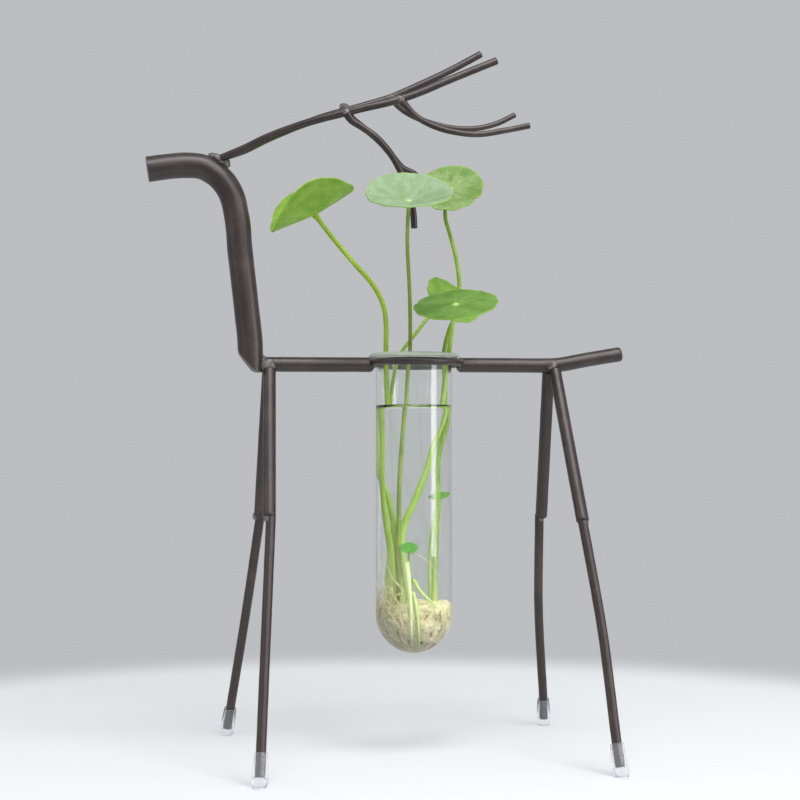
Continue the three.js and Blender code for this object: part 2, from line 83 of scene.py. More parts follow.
# Back rod and ring
BACK_HEIGHT = 152.5
BACK_SLOPE = math.radians(0.4)
BACK_RADIUS = 2.9
THIN_ROD = 1.6  # rods with a smaller radius have the smoother finish
BACK_FRONT = -59.5
RUMP = 56.5  # where the back rod bends up into the tail
TAIL_LENGTH = 29.2
TAIL_RISE = math.radians(9.7)
RING_WIRE_RADIUS = 1.45
RING_RADIUS = 17.55
RING_OFFSET = 0.7  # the ring's middle is this far behind the tube's
RING_Z = BACK_HEIGHT + 0.7

# Neck and head, from the middle of the neck's foot
NECK_RADIUS = 4.9
NECK_SIDES = 40
NECK_FOOT = -64.4
NECK_FOOT_Z = BACK_HEIGHT - 3.5
NECK_POINTS = [
    (0, 0), (-0.2, 11), (-1.5, 23.2), (-2.9, 35.4), (-4.3, 47.9), (-5.1, 57.2), (-5.8, 61.5),
    (-8, 69.6), (-11.7, 74.9), (-15, 77.4), (-19.1, 79.3), (-25, 79.7), (-30.4, 79.2), (-39.9, 77.7),
]
# The foot's cuts: angle of each from level, a corner it would pass, and how deep it goes in there
NECK_CUTS = [(50, 1.4, 0, 0), (70, -4.9, 7.5, 0.3), (24, 1.4, 0, 0.45)]
NECK_CUT_LIMIT = 20  # the cuts leave the bar alone above this height
NECK_RIM_TURN = 0.6  # rims that turn further than this, in radians, are rounded
NECK_RIM_ROUNDING = 0.5

# Legs. Each has its name, the thigh's top, its knee end, the shin's knee end, the foot's X and Y,
# how far the shin bows to the tail side, and where the knee's bead sits from the knee. The height
# of a top is measured from the back rod's middle.
THIGH_RADIUS = 2.45
SHIN_RADIUS = 1.85
THIGH_TOP = -2.0  # the height to which each thigh is lengthened
SHIN_START = 1.2  # how far the shin reaches past its knee end, into the bead
CAP_PLAY = 0.15  # the leg stops this far above the cap's pad
LEGS = [
    (
        "near_front", (-57.3, -2.5, -3.8), (-59.6, -25, 93.9), (-59, -25, 93.5), (-65.9, -54.8), 0,
        (-0.45, 0, -0.5),
    ),
    (
        "far_front", (-57.3, 2.5, -3.8), (-57.7, 29, 92), (-57.7, 29, 91.6), (-68.7, 57.5), 0.3,
        (-1.5, 0, 0.3),
    ),
    (
        "near_rear", (56.9, -2.5, -1.8), (59.4, -31.5, 91.6), (59.4, -31.5, 91.2), (65, -59.8), 1.1,
        (0.7, -0.2, -0.7),
    ),
    (
        "far_rear", (55.6, 2.5, -4.8), (60.7, 31.5, 91.3), (59.9, 31.5, 91.1), (68.8, 57.3), -1.2,
        (-0.6, 0, -0.8),
    ),
]

# Foot caps
CAP_BORE = 2.15
CAP_RADIUS = 2.95
CAP_TOP_RADIUS = 2.5
CAP_LENGTH = 12.4
CAP_PAD = 3.4  # thickness of the rubber under the leg
CAP_ROUNDING = 0.25

# Antlers: each has its name, its side, and the points of its beam, low tine and high tine from the
# middle of the root; the middle number of a point is a share of the antlers' reach sideways
ANTLER_ROOT = (-76.2, 0, 79.4)
ANTLER_REACH = 20.45
BEAM_RADIUS = 1.45
LOW_TINE_RADIUS = 1.35
HIGH_TINE_RADIUS = 1.2
TINE_SWELL = 0.35  # how much thicker a tine is where it is welded on
ANTLERS = [
    ("near_antler", -1, [
        (0.2, 0.12, -0.3), (8.7, 0.34, 3), (18.3, 0.54, 7.3), (32.7, 0.78, 12.2), (43.5, 0.9, 15),
        (53.1, 0.98, 17.5), (63, 1, 20.1), (72.9, 1, 23.6), (85.2, 1, 29.2), (105, 1, 38),
    ], [
        (46.1, 0.93, 15.9), (48.4, 0.94, 12.6), (52, 0.97, 10.2), (57.1, 1, 6.6), (61.8, 1.02, 1.7),
        (64.5, 1.02, -2.1), (67.2, 1.02, -7.1), (69.8, 1.02, -13.7), (71.7, 1.02, -20.9),
        (72.3, 1.02, -28.3),
    ], [
        (66.8, 1, 21.4), (69.9, 1.01, 18), (72.9, 1.02, 15), (77.1, 1.03, 12.5), (84.1, 1.05, 10),
        (96.3, 1.07, 8.6), (108.6, 1.1, 10.6), (117.5, 1.12, 12.6),
    ]),
    ("far_antler", 1, [
        (-0.2, 0.12, 0.4), (9.9, 0.34, 4.9), (20.6, 0.54, 11.1), (40.9, 0.78, 20.7), (59.7, 0.98, 27.5),
        (70.4, 1, 31.2), (81.1, 1, 36.2), (94.2, 1, 42.8), (108.6, 1, 51),
    ], [
        (51, 0.9, 26.2), (54.4, 0.93, 21.9), (59.9, 0.97, 17.8), (66.2, 1, 12.8), (71.3, 1.02, 7.4),
        (75.9, 1.02, 2.4), (80.9, 1.02, 0), (84, 1.02, -5), (85, 1.02, -11.7),
    ], [
        (70.8, 1, 31.4), (75.4, 1.01, 26.6), (83, 1.02, 22.9), (93.4, 1.05, 20.3), (101.1, 1.07, 19.8),
        (108.8, 1.08, 20.6), (116.4, 1.1, 23), (123.7, 1.12, 26.8),
    ]),
]

# Weld beads: half sizes along X, Y and Z
KNEE_BEAD = (1.5, 1.7, 2.0)
FRONT_HIP_BEAD = (2.7, 1.4, 2.6)
REAR_HIP_BEAD = (2.1, 1.4, 2.4)
NECK_BEAD = (1.9, 3.4, 3.4)
RING_BEAD = (1.9, 2.9, 2.8)
TINE_BEAD = (2.1, 1.9, 1.7)
# The beads under the antlers: name, place from the antlers' root, half sizes, seed and lean
ANTLER_BEADS = [
    ("antler_root_weld", (-0.6, 0, -0.7), (4.8, 2.8, 1.9), 44.1, 27),
    ("antler_web_weld", (1.3, 0, -1.9), (2.4, 2.2, 2.6), 46.8, 30),
]
# Lumps of the welds: depth and grain in metres
WELD_LUMPS = [(0.00025, 0.0019), (0.00008, 0.0008)]

# Plant. Inside the tube a stalk's points are shares of the bore's radius and of the tube's
# inner height, in percent; above the mouth they are millimetres from the mouth's middle.
LEAF_LOBES = 12
LEAF_RINGS, LEAF_SEGMENTS = 22, 168
YOUNG_RINGS, YOUNG_SEGMENTS = 8, 72
CROWN_HEIGHT = 17
MAT_RADIUS = 12.2
SHEATH_HEIGHT = 11
LEAF_START = 0.985  # the share of the way from which a stalk widens into its leaf
# Shoots. A leaf's cup, fold and turns are degrees, and scallop is a share of its radius. The blade
# and the stem each have a dark and a light tone; sheath is how much the stalk swells at its foot.
SHOOTS = [
    {
        "name": "head_side",
        "radius": 1.0,
        "inside": [
            (-45, 17, 19), (-48, 14, 34), (-58, 12, 42), (-71, 12, 58), (-71, 10, 68), (-75, 7, 82),
            (-78, 13, 94),
        ],
        "above": [
            (-10.8, 2.1, 1.5), (-10.8, 2.2, 12.6), (-11.8, 2.3, 19.3), (-15.5, 3, 26.9),
            (-23.5, 4.6, 36.4), (-32.1, 7.2, 47.2), (-38.2, 9.3, 55.6),
        ],
        "leaf": {
            "radius": 18.7, "cup": 4.6, "fold": 29.4, "fold_turn": 26, "facing": (-0.467, -0.057, 0.882),
            "scallop": 0.012, "vein_turn": 10,
        },
        "blade": ((0.165, 0.355, 0.018), (0.270, 0.460, 0.055)),
        "veins": 0.15,
        "stem": ((0.255, 0.400, 0.018), (0.330, 0.510, 0.040)),
        "sheath": 1.0,
    },
    {
        "name": "near_side",
        "radius": 0.78,
        "inside": [
            (-31, -15, 20), (-41, -21, 35), (-42, -28, 44), (-44, -43, 58), (-32, -52, 83),
            (-25, -48, 95.5),
        ],
        "above": [
            (-2.8, -6.5, 1), (-3, -8, 10.6), (-3.4, -9.4, 20), (-4.8, -14.5, 29.4), (-7, -23, 39.5),
            (-8.7, -32.5, 47.4), (-9.2, -37.8, 54.2),
        ],
        "leaf": {
            "radius": 16.6, "cup": 13, "fold": 4, "fold_turn": 0, "facing": (-0.099, -0.528, 0.843),
            "scallop": 0.006, "vein_turn": 40,
        },
        "blade": ((0.190, 0.300, 0.150), (0.280, 0.400, 0.250)),
        "veins": 0.35,
        "stem": ((0.170, 0.260, 0.018), (0.270, 0.360, 0.060)),
        "sheath": 0.5,
    },
    {
        "name": "top",
        "radius": 0.82,
        "inside": [
            (42, -23, 17.5), (44, -28, 30), (47, -32, 41), (51, -35, 51), (50, -32, 62), (59, -31, 69),
            (72, -29, 74), (88, -25, 81), (89, -19, 85.5), (88.5, -10, 91.5), (87.5, -5, 96),
        ],
        "above": [
            (12.2, -0.2, 1.6), (14.4, 0.2, 10), (17, 0.4, 16), (18.6, 0.7, 26.6), (17.5, 0.9, 37.6),
            (14.8, 1.4, 48.6), (13.2, 1.7, 54.5), (13.3, 1.6, 59.7), (15.3, 1.2, 66),
        ],
        "leaf": {
            "radius": 13.2, "cup": 4, "fold": 0, "fold_turn": 0, "facing": (-0.251, -0.732, 0.633),
            "scallop": 0.014, "vein_turn": 20,
        },
        "blade": ((0.130, 0.260, 0.045), (0.275, 0.385, 0.150)),
        "veins": 0.5,
        "stem": ((0.160, 0.300, 0.012), (0.280, 0.450, 0.035)),
        "sheath": 0.2,
    },
    {
        "name": "tail_side",
        "radius": 1.02,
        "inside": [
            (-17, 10, 18.5), (-22, 14, 29.5), (-21, 12, 41), (4, 0, 51), (30, -8, 62), (43, -13, 69),
            (59, -19, 74), (73.5, -29.5, 81), (78, -33, 85.5), (82.5, -36, 91.5), (83.5, -38, 96),
        ],
        "above": [
            (13, -5.9, 1.2), (13, -8.6, 6), (12.8, -13, 11), (12.6, -17.5, 14.8), (12.3, -21.5, 17.5),
        ],
        "leaf": {
            "radius": 16.3, "cup": 1, "fold": 0, "fold_turn": 0, "facing": (-0.175, -0.395, 0.900),
            "scallop": 0.010, "vein_turn": 0,
        },
        "blade": ((0.082, 0.205, 0.014), (0.150, 0.300, 0.045)),
        "veins": 0.2,
        "stem": ((0.330, 0.540, 0.055), (0.420, 0.640, 0.120)),
        "sheath": 0.8,
    },
    {
        "name": "far_side",
        "radius": 0.75,
        "inside": [
            (-18, 31, 17.5), (-22, 36, 22), (-31, 37, 32), (-33, 37, 41), (-43, 38, 51), (-61, 46, 60.5),
            (-62, 47, 82), (-56, 47, 88), (-45, 46, 96),
        ],
        "above": [(-3.4, 6.4, 1.6), (2.3, 7.5, 8.8), (7.6, 9.8, 15.1), (12.9, 13, 19), (18, 16, 22)],
        "leaf": {
            "radius": 12.3, "cup": 4, "fold": 8, "fold_turn": 60, "facing": (0.422, -0.663, 0.618),
            "scallop": 0.014, "vein_turn": 30,
        },
        "blade": ((0.130, 0.300, 0.025), (0.240, 0.400, 0.060)),
        "veins": 0.2,
        "stem": ((0.270, 0.460, 0.020), (0.340, 0.540, 0.060)),
        "sheath": 0.9,
    },
]
YOUNG_SHOOTS = [
    {
        "name": "young_tail_side",
        "radius": 0.5,
        "inside": [(35, 12, 18), (36, 14, 33), (43, 5, 44), (57, 0, 51.5)],
        "leaf": {
            "radius": 3.4, "cup": 10, "fold": 0, "fold_turn": 0, "facing": (-0.2, -0.36, 0.91),
            "scallop": 0.05, "vein_turn": 0,
        },
    },
    {
        "name": "young_head_side",
        "radius": 0.5,
        "inside": [(-6, -16, 18), (-19, -40, 29), (-21, -46, 34.5)],
        "leaf": {
            "radius": 3.1, "cup": 10, "fold": 0, "fold_turn": 0, "facing": (-0.1, -0.62, 0.78),
            "scallop": 0.05, "vein_turn": 0,
        },
    },
]

# Old stems that stand between the roots by the glass: name, radius, points in the same shares,
# and a dark and a light tone
OLD_STEMS = [
    (
        "pale_old_stem", 1.05,
        [(-27, -40, 30), (-26, -76, 20), (-25, -87, 12), (-22, -75, 6), (-15, -48, 2.8)],
        ((0.560, 0.630, 0.300), (0.680, 0.740, 0.430)),
    ),
    (
        "green_old_stem", 0.75,
        [(-14, -62, 20), (-10, -87, 15), (-6, -90, 9), (-2, -74, 4.8), (2, -49, 2.2)],
        ((0.260, 0.460, 0.060), (0.400, 0.600, 0.150)),
    ),
    (
        "creeping_stem", 0.7,
        [(-6, -30, 24), (4, -62, 20.5), (22, -76, 18), (44, -70, 15.2)],
        ((0.330, 0.560, 0.050), (0.450, 0.680, 0.120)),
    ),
]
LOOSE_FIBRES = [
    [(-14, -50, 33), (10, -66, 31.6), (34, -70, 28.5), (52, -64, 25)],
    [(44, -40, 84), (62, -56, 85.5), (80, -40, 84)],
    [(-60, -40, 24), (-80, -34, 29), (-88, -20, 25), (-80, -42, 21)],
    [(-70, -20, 22), (-88, -24, 26.5), (-90, -10, 31), (-84, -30, 35)],
    [(-50, -58, 22), (-74, -54, 25), (-82, -36, 22.5)],
]
EVEN_TURN = math.pi * (3 - math.sqrt(5))  # from one root to the next, so that none line up
# Lumps of the root mat: depth and grain in metres, and a seed
MAT_LUMPS = [(0.0014, 0.0034, 3.1), (0.0006, 0.0011, 5.2), (0.0003, 0.0005, 8.4)]
SMALL_SCRAPS = 26
# Larger dead scraps on the root mat: direction and first and last sink in degrees, half thickness
LARGE_SCRAPS = [
    (203, 76, 56, 0.95),
    (230, 73, 52, 0.62),
    (248, 50, 26, 0.50),
    (308, 102, 79, 0.42),
    (293, 64, 52, 0.45),
]

# Colours that the settings leave as they are
RUST = (0.030, 0.018, 0.013)
WELD_COAT = (0.050, 0.044, 0.042)
# Painted refraction: pale green-white tones laid over the glass lip, standing for the light the thick lip
# refracts
PAINTED_LIP_REFRACTION = ((0.72, 0.80, 0.66), (0.86, 0.90, 0.82))
SCUFFED_RUBBER = (0.86, 0.89, 0.93)
RUBBER_SHADOW = (0.90, 0.92, 0.94)
LEAF_EDGE = (0.30, 0.50, 0.07)
STALK_FOOT = (0.60, 0.66, 0.30)
YOUNG_BLADE = ((0.055, 0.27, 0.012), (0.11, 0.37, 0.025))
YOUNG_STEM = ((0.25, 0.45, 0.05), (0.36, 0.56, 0.10))
PALE_ROOT = (0.74, 0.69, 0.46)
DRY_BARK = (0.42, 0.27, 0.11)

# Camera and lamps, in the row frame and in metres
CAMERA_PLACE = (-0.11268, -0.61857, 0.1152)
CAMERA_TURN = (math.radians(92.13), 0, math.radians(-10.68))
CAMERA_LENS = 72
CAMERA_SENSOR = 36
FLOOR_RADIUS = 30
LAMPS_AIM = Vector((0, 0, 0.13))
# Lamps: name, place, width, height and watts
LAMPS = [
    ("top_softbox", (0.06, -0.50, 1.05), 0.85, 0.50, 8.6),
    ("front_softbox", (0.35, -1.05, 0.80), 0.50, 0.50, 3.8),
    ("tail_side_softbox", (0.95, -0.70, 0.35), 0.40, 0.8, 4.2),
    ("head_side_softbox", (-1.05, -0.35, 0.65), 0.7, 0.9, 1.8),
]


def mm(*lengths):
    """Millimetres as a vector in metres."""
    return Vector(lengths) * MM


def place(x, y, z):
    """A point measured from the tube's axis, in the row frame and in metres."""
    return Vector((AXIS_X, 0, 0)) + mm(x, y, z)


def back_at(x):
    """Height of the back rod's middle, which climbs a little towards the rump."""
    return BACK_HEIGHT + x * math.tan(BACK_SLOPE)


# Settings that a user would change


def colour(name, description, default):
    """A colour setting."""
    return FloatVectorProperty(name=name, description=description, subtype="COLOR", default=default)


def length(name, description, default):
    """A length setting, in metres."""
    return FloatProperty(name=name, description=description, default=default, unit="LENGTH")


class IronSettings(bpy.types.PropertyGroup):
    """Finish of the welded rods."""

    paint: colour("Paint", "Colour of the dark coat", (0.016, 0.0086, 0.0078))
    worn_paint: colour("Worn paint", "Colour of the coat where it is thin", (0.046, 0.033, 0.030))
    weld: colour("Weld", "Colour of the welds under the coat", (0.240, 0.218, 0.214))
    grain: length("Grain", "Size of the hammered grain", 0.0007)
    wobble: length("Wobble", "How uneven the hand-forged rods are", 0.00005)
    sides: IntProperty(name="Sides", description="Sides of a round rod", default=28, min=12)


class TubeSettings(bpy.types.PropertyGroup):
    """Glass, water and foot caps."""

    glass: colour("Glass", "Tint of the glass", (0.965, 0.985, 0.975))
    water: colour("Water", "Tint of the water", (0.980, 0.976, 0.966))
    rubber: colour("Rubber", "Tint of the clear foot caps", (0.93, 0.95, 0.98))
    water_level: length("Water level", "Height of the water's surface", 0.1349)
    meniscus: length("Meniscus", "How far the water climbs the glass", 0.0016)
    sides: IntProperty(name="Sides", description="Steps of a turned shape", default=96, min=24)


class PlantSettings(bpy.types.PropertyGroup):
    """Leaves, stalks and roots."""

    vein: colour("Vein", "Colour of the leaves' veins", (0.420, 0.600, 0.230))
    heart: colour("Heart", "Colour where a stalk meets its leaf", (0.640, 0.760, 0.300))
    root: colour("Root", "Colour of the fine roots", (0.660, 0.590, 0.320))
    withered: colour("Withered", "Colour of dead scraps between the roots", (0.180, 0.085, 0.028))
    leaf_thickness: length("Leaf thickness", "Thickness of a leaf", 0.00045)
    vein_depth: length("Vein depth", "How deep a vein lies in the leaf", 0.00022)
    root_count: IntProperty(name="Roots", description="Number of fine roots", default=260, min=1)


class StageSettings(bpy.types.PropertyGroup):
    """Floor, backdrop and lamps."""

    floor: colour("Floor", "Colour of the floor", (0.80, 0.82, 0.845))
    backdrop: colour("Backdrop", "Colour behind the object", (0.505, 0.512, 0.530))
    sky: FloatProperty(name="Sky", description="Strength of the light from all round", default=0.45)
    lamps: FloatProperty(name="Lamps", description="Strength of all lamps together", default=1.0)


# Shader maths


class Shade:
    """A number on a node socket; arithmetic on it adds Math nodes."""

    def __init__(self, recipe, socket):
        self.recipe = recipe
        self.socket = socket

    def by(self, operation, *values):
        made = self.recipe.node("Math", {"operation": operation}, dict(enumerate(values)))
        return Shade(self.recipe, made.outputs[0])

    def __add__(self, other):
        return self.by("ADD", self, other)

    __radd__ = __add__

    def __sub__(self, other):
        return self.by("SUBTRACT", self, other)

    def __rsub__(self, other):
        return self.by("SUBTRACT", other, self)

    def __mul__(self, other):
        return self.by("MULTIPLY", self, other)

    __rmul__ = __mul__

    def __pow__(self, other):
        return self.by("POWER", self, other)

    def __abs__(self):
        return self.by("ABSOLUTE", self)

    def fraction(self):
        return self.by("FRACT", self)

    def at_least(self, other):
        return self.by("MAXIMUM", self, other)

    def angle_from(self, across):
        return self.by("ARCTAN2", self, across)

    def step(self, low, high):
        """0 below low and 1 above high, smooth between them."""
        made = self.recipe.node(
            "MapRange", {"interpolation_type": "SMOOTHSTEP"},
            {"Value": self, "From Min": low, "From Max": high},
        )
        return Shade(self.recipe, made.outputs[0])


class Recipe:
    """The node tree of a material or a world, filled by Python expressions."""

    def __init__(self, owner):
        owner.use_nodes = True
        self.tree = owner.node_tree
        self.tree.nodes.clear()

    def node(self, kind, settings, inputs):
        """Adds a node: its settings first, then the values or links of its sockets."""
        made = self.tree.nodes.new("ShaderNode" + kind)
        for name, value in settings.items():
            setattr(made, name, value)
        for key, value in inputs.items():
            socket = made.inputs[key]
            if isinstance(value, Shade):
                self.tree.links.new(value.socket, socket)
            elif isinstance(value, bpy.types.NodeSocket):
                self.tree.links.new(value, socket)
            elif hasattr(value, "__len__") and socket.type == "RGBA":
                socket.default_value = (*value[:3], 1)
            else:
                socket.default_value = value
        return made

    def coordinates(self, stretch=(1, 1, 1)):
        """Object coordinates, in metres, stretched for drawn or grown patterns."""
        source = self.node("TexCoord", {}, {})
        made = self.node("Mapping", {}, {"Vector": source.outputs["Object"], "Scale": stretch})
        return made.outputs[0]

    def part_of(self, vector, axis):
        """One of a vector's three numbers, by the name of its axis."""
        return Shade(self, self.node("SeparateXYZ", {}, {"Vector": vector}).outputs[axis])

    def cloud(self, where, size, detail, roughness=0.55):
        """Soft noise whose lumps are about size metres across."""
        made = self.node(
            "TexNoise", {},
            {"Vector": where, "Scale": 1 / size, "Detail": detail, "Roughness": roughness},
        )
        return Shade(self, made.outputs[0])

    def cell_edges(self, where, size):
        """Distance to the edges of cells about size metres across."""
        made = self.node(
            "TexVoronoi", {"feature": "DISTANCE_TO_EDGE"}, {"Vector": where, "Scale": 1 / size}
        )
        return Shade(self, made.outputs["Distance"])

    def blend(self, share, first, second):
        """A colour between two others, by the colour sockets of a Mix node."""
        made = self.node("Mix", {"data_type": "RGBA"}, {0: share, 6: first, 7: second})
        return made.outputs[2]

    def bump(self, height, depth):
        """A normal from a height of 0 to 1 that stands for depth metres."""
        made = self.node("Bump", {}, {"Height": height, "Strength": 1.0, "Distance": depth})
        return made.outputs[0]

    def rays(self, *kinds):
        """1 for rays of the named kinds, else 0."""
        path = self.node("LightPath", {}, {})
        total = Shade(self, path.outputs[kinds[0]])
        for kind in kinds[1:]:
            total = total.at_least(Shade(self, path.outputs[kind]))
        return total

    def backdrop_rays(self):
        """1 for the rays that show the plain backdrop, else 0."""
        return self.rays("Is Camera Ray", "Is Glossy Ray", "Is Transmission Ray")

    def shader(self, kind, inputs):
        """Adds a shader node and gives its output."""
        return self.node(kind, {}, inputs).outputs[0]

    def mix(self, share, first, second):
        """A shader between two others."""
        return self.shader("MixShader", {0: share, 1: first, 2: second})

    def surface(self, inputs, lamps_pass=None, veil=None):
        """Ends the tree in a Principled shader, perhaps veiled, which lamps may shine through."""
        shader = self.shader("BsdfPrincipled", inputs)
        if veil is not None:
            share, over = veil
            shader = self.mix(share, shader, over)
        if lamps_pass is not None:
            clear = self.shader("BsdfTransparent", {"Color": lamps_pass})
            shader = self.mix(self.rays("Is Shadow Ray"), shader, clear)
        self.node("OutputMaterial", {}, {"Surface": shader})


def made_once(name, recipe, *details):
    """The named material, filled by its recipe when it is first asked for."""
    found = bpy.data.materials.get(name)
    if found is None:
        found = bpy.data.materials.new(name)
        recipe(Recipe(found), *details)
    return found


def blackened_iron(recipe, roughness, settings):
    """Dark satin coat over hammered rod, thin and paler on the grain's high spots."""
    where = recipe.coordinates()
    grain = recipe.cloud(where, settings.grain, 3, 0.6)
    dents = recipe.cloud(where, 3.2 * settings.grain, 2)
    patches = recipe.cloud(where, 14 * settings.grain, 3)
    worn = (0.6 * roughness * grain + (1 - 0.6 * roughness) * patches).step(0.48, 0.76)
    rusty = recipe.blend(patches.step(0.45, 0.75), settings.paint, RUST)
    height = 0.55 * grain + 0.45 * dents
    recipe.surface({
        "Base Color": recipe.blend(worn, rusty, settings.worn_paint),
        "Roughness": 0.385 + 0.15 * roughness * (grain - 0.5),
        "Specular IOR Level": 0.65,
        "Specular Tint": (1.0, 0.95, 0.95),
        "Normal": recipe.bump(height, 0.00006 * roughness),
    })


def coated_weld(recipe, settings):
    """Lumpy weld metal under a thin coat, shinier and greyer than the rods."""
    where = recipe.coordinates()
    ripples = recipe.cloud(where, 0.0020, 3)
    grain = recipe.cloud(where, settings.grain, 2)
    shine = ripples.step(0.35, 0.70)
    recipe.surface({
        "Base Color": recipe.blend(shine, WELD_COAT, settings.weld),
        "Roughness": 0.50 - 0.06 * shine,
        "Metallic": 0.25 * shine,
        "Specular IOR Level": 0.6,
        "Normal": recipe.bump(0.8 * ripples + 0.2 * grain, 0.00004),
    })


def drawn_glass(recipe, settings):
    """Clear glass with the faint upright streaks of a drawn tube, and painted refraction on its lip: a
    pale green-white veil.
    """
    streaks = recipe.cloud(recipe.coordinates((1, 1, 0.02)), 0.0012, 2)
    smears = recipe.cloud(recipe.coordinates((1, 1, 0.4)), 0.006, 4)
    # Painted refraction: a matt pale green-white shader veils half of the lip, standing for the light the
    # lip refracts
    painted_refraction = recipe.shader("BsdfPrincipled", {
        "Base Color": recipe.blend(smears, *PAINTED_LIP_REFRACTION),
        "Roughness": 0.25,
        "Specular IOR Level": 0.6,
    })
    lip = recipe.part_of(recipe.coordinates(), "Z").step((LIP_Z - 0.3) * MM, (LIP_Z + 0.5) * MM)
    recipe.surface({
        "Base Color": settings.glass,
        "Roughness": 0.012 + 0.02 * smears.step(0.6, 0.8),
        "IOR": 1.5,
        "Transmission Weight": 1.0,
        "Normal": recipe.bump(streaks, 0.00001),
    }, lamps_pass=settings.glass, veil=(0.5 * lip, painted_refraction))


def still_water(recipe, settings):
    """Clear water with a slight swell on its surface."""
    swell = recipe.cloud(recipe.coordinates(), 0.008, 1)
    haze = recipe.cloud(recipe.coordinates(), 0.02, 3)
    recipe.surface({
        "Base Color": settings.water,
        "Roughness": 0.004 + 0.01 * haze,
        "IOR": 1.333,
        "Transmission Weight": 1.0,
        "Normal": recipe.bump(swell, 0.00004),
    }, lamps_pass=settings.water)


def see_through_rubber(recipe, settings):
    """Milky see-through rubber, scuffed near the ground."""
    where = recipe.coordinates()
    scuffs = recipe.cloud(where, 0.0015, 3)
    low = 1 - recipe.part_of(where, "Z").step(0.0, 0.004)
    recipe.surface({
        "Base Color": recipe.blend(low, settings.rubber, SCUFFED_RUBBER),
        "Roughness": 0.03 + 0.06 * scuffs + 0.12 * low,
        "IOR": 1.36,
        "Transmission Weight": 0.95,
        "Normal": recipe.bump(scuffs, 0.00002),
    }, lamps_pass=RUBBER_SHADOW)


def leaf_skin(recipe, tones, vein_strength, turn, settings):
    """A waxy round leaf: veins run from its heart to each lobe and fork on the way."""
    flat = recipe.node("UVMap", {"uv_map": "blade"}, {}).outputs[0]
    u = recipe.part_of(flat, "X") * 2 - 1
    v = recipe.part_of(flat, "Y") * 2 - 1
    outward = (u * u + v * v) ** 0.5
    where = recipe.coordinates()
    wander = recipe.cloud(where, 0.005, 2) - 0.5
    spoke = (v.angle_from(u) + math.radians(turn) + 0.22 * wander) * (LEAF_LOBES / math.tau) + 0.5
    aside = abs(spoke.fraction() - 0.5) * (math.tau / LEAF_LOBES)
    main_vein = 1 - (aside * outward).step(0.002, 0.016)
    fork_start = 0.42
    fork_reach = (outward - fork_start).at_least(0) * 0.36
    fork = 1 - (abs(aside - fork_reach) * outward).step(0.001, 0.011)
    fork = fork * outward.step(fork_start, 0.5)
    net = 1 - recipe.cell_edges(where, 0.0019).step(0.0, 0.09)
    veins = (main_vein * (1 - 0.5 * outward)).at_least(0.5 * fork).at_least(0.16 * net)
    patches = recipe.cloud(where, 0.006, 4)
    speckle = recipe.cloud(where, 0.0009, 2)
    dark, light = tones
    blade = recipe.blend((0.75 * patches + 0.25 * speckle).step(0.36, 0.66), dark, light)
    veined = recipe.blend(vein_strength * veins, blade, settings.vein)
    edged = recipe.blend(0.6 * outward.step(0.965, 1.0), veined, LEAF_EDGE)
    heart = 1 - outward.step(0.02, 0.12)
    height = 0.45 * patches + 0.2 * speckle - vein_strength * veins
    recipe.surface({
        "Base Color": recipe.blend(0.65 * heart, edged, settings.heart),
        "Roughness": 0.42 + 0.2 * speckle,
        "Specular IOR Level": 0.32,
        "Coat Weight": 0.02 + 0.10 * patches.step(0.4, 0.7),
        "Coat Roughness": 0.35,
        "Normal": recipe.bump(height, 0.00016),
    })


def stalk_skin(recipe, tones):
    """A smooth finely grained stalk, paler and whiter towards its foot under water."""
    where = recipe.coordinates()
    grain = recipe.cloud(where, 0.0011, 2)
    bands = recipe.cloud(where, 0.009, 3)
    foot = 1 - recipe.part_of(where, "Z").step(0.058, 0.092)
    dark, light = tones
    green = recipe.blend((0.85 * bands + 0.15 * grain).step(0.35, 0.65), dark, light)
    recipe.surface({
        "Base Color": recipe.blend(0.6 * foot, green, STALK_FOOT),
        "Roughness": 0.42 + 0.10 * grain,
        "Specular IOR Level": 0.35,
        "Normal": recipe.bump(bands, 0.0001),
    })


def fine_root(recipe, settings):
    """Cream roots that turn brown in places."""
    where = recipe.coordinates()
    patches = recipe.cloud(where, 0.003, 3)
    specks = recipe.cloud(where, 0.0006, 2)
    brown = (0.55 * patches + 0.45 * specks).step(0.62, 0.72)
    pale = recipe.blend(specks.step(0.35, 0.65), settings.root, PALE_ROOT)
    recipe.surface({
        "Base Color": recipe.blend(brown, pale, settings.withered),
        "Roughness": 0.5 + 0.2 * specks,
        "Specular IOR Level": 0.3,
        "Normal": recipe.bump(specks, 0.0002),
    })


def withered_scrap(recipe, settings):
    """Dead root bark, dark brown with paler dry fibres."""
    where = recipe.coordinates()
    fibres = recipe.cloud(where, 0.0008, 3)
    recipe.surface({
        "Base Color": recipe.blend(fibres.step(0.4, 0.62), settings.withered, DRY_BARK),
        "Roughness": 0.55 + 0.2 * fibres,
        "Normal": recipe.bump(fibres, 0.0002),
    })


def pale_floor(recipe, settings):
    """A pale matt floor round the object, which fades into the backdrop's grey further away."""
    where = recipe.coordinates()
    grain = recipe.cloud(where, 0.004, 3)
    mottle = recipe.cloud(where, 0.09, 3)
    away = recipe.node("VectorMath", {"operation": "LENGTH"}, {0: where}).outputs["Value"]
    far = Shade(recipe, away).step(0.25, 0.37)
    darker = [0.965 * c for c in settings.floor]
    tone = recipe.blend(0.5 * mottle + 0.5 * grain, settings.floor, darker)
    lit = recipe.shader("BsdfPrincipled", {
        "Base Color": recipe.blend(far, tone, settings.backdrop),
        "Roughness": 0.7 + 0.15 * grain,
        "Specular IOR Level": 0.3,
        "Normal": recipe.bump(grain, 0.0001),
    })
    plain = recipe.shader("Emission", {"Color": settings.backdrop, "Strength": 1.0})
    mixed = recipe.mix(far * recipe.backdrop_rays(), lit, plain)
    recipe.node("OutputMaterial", {}, {"Surface": mixed})


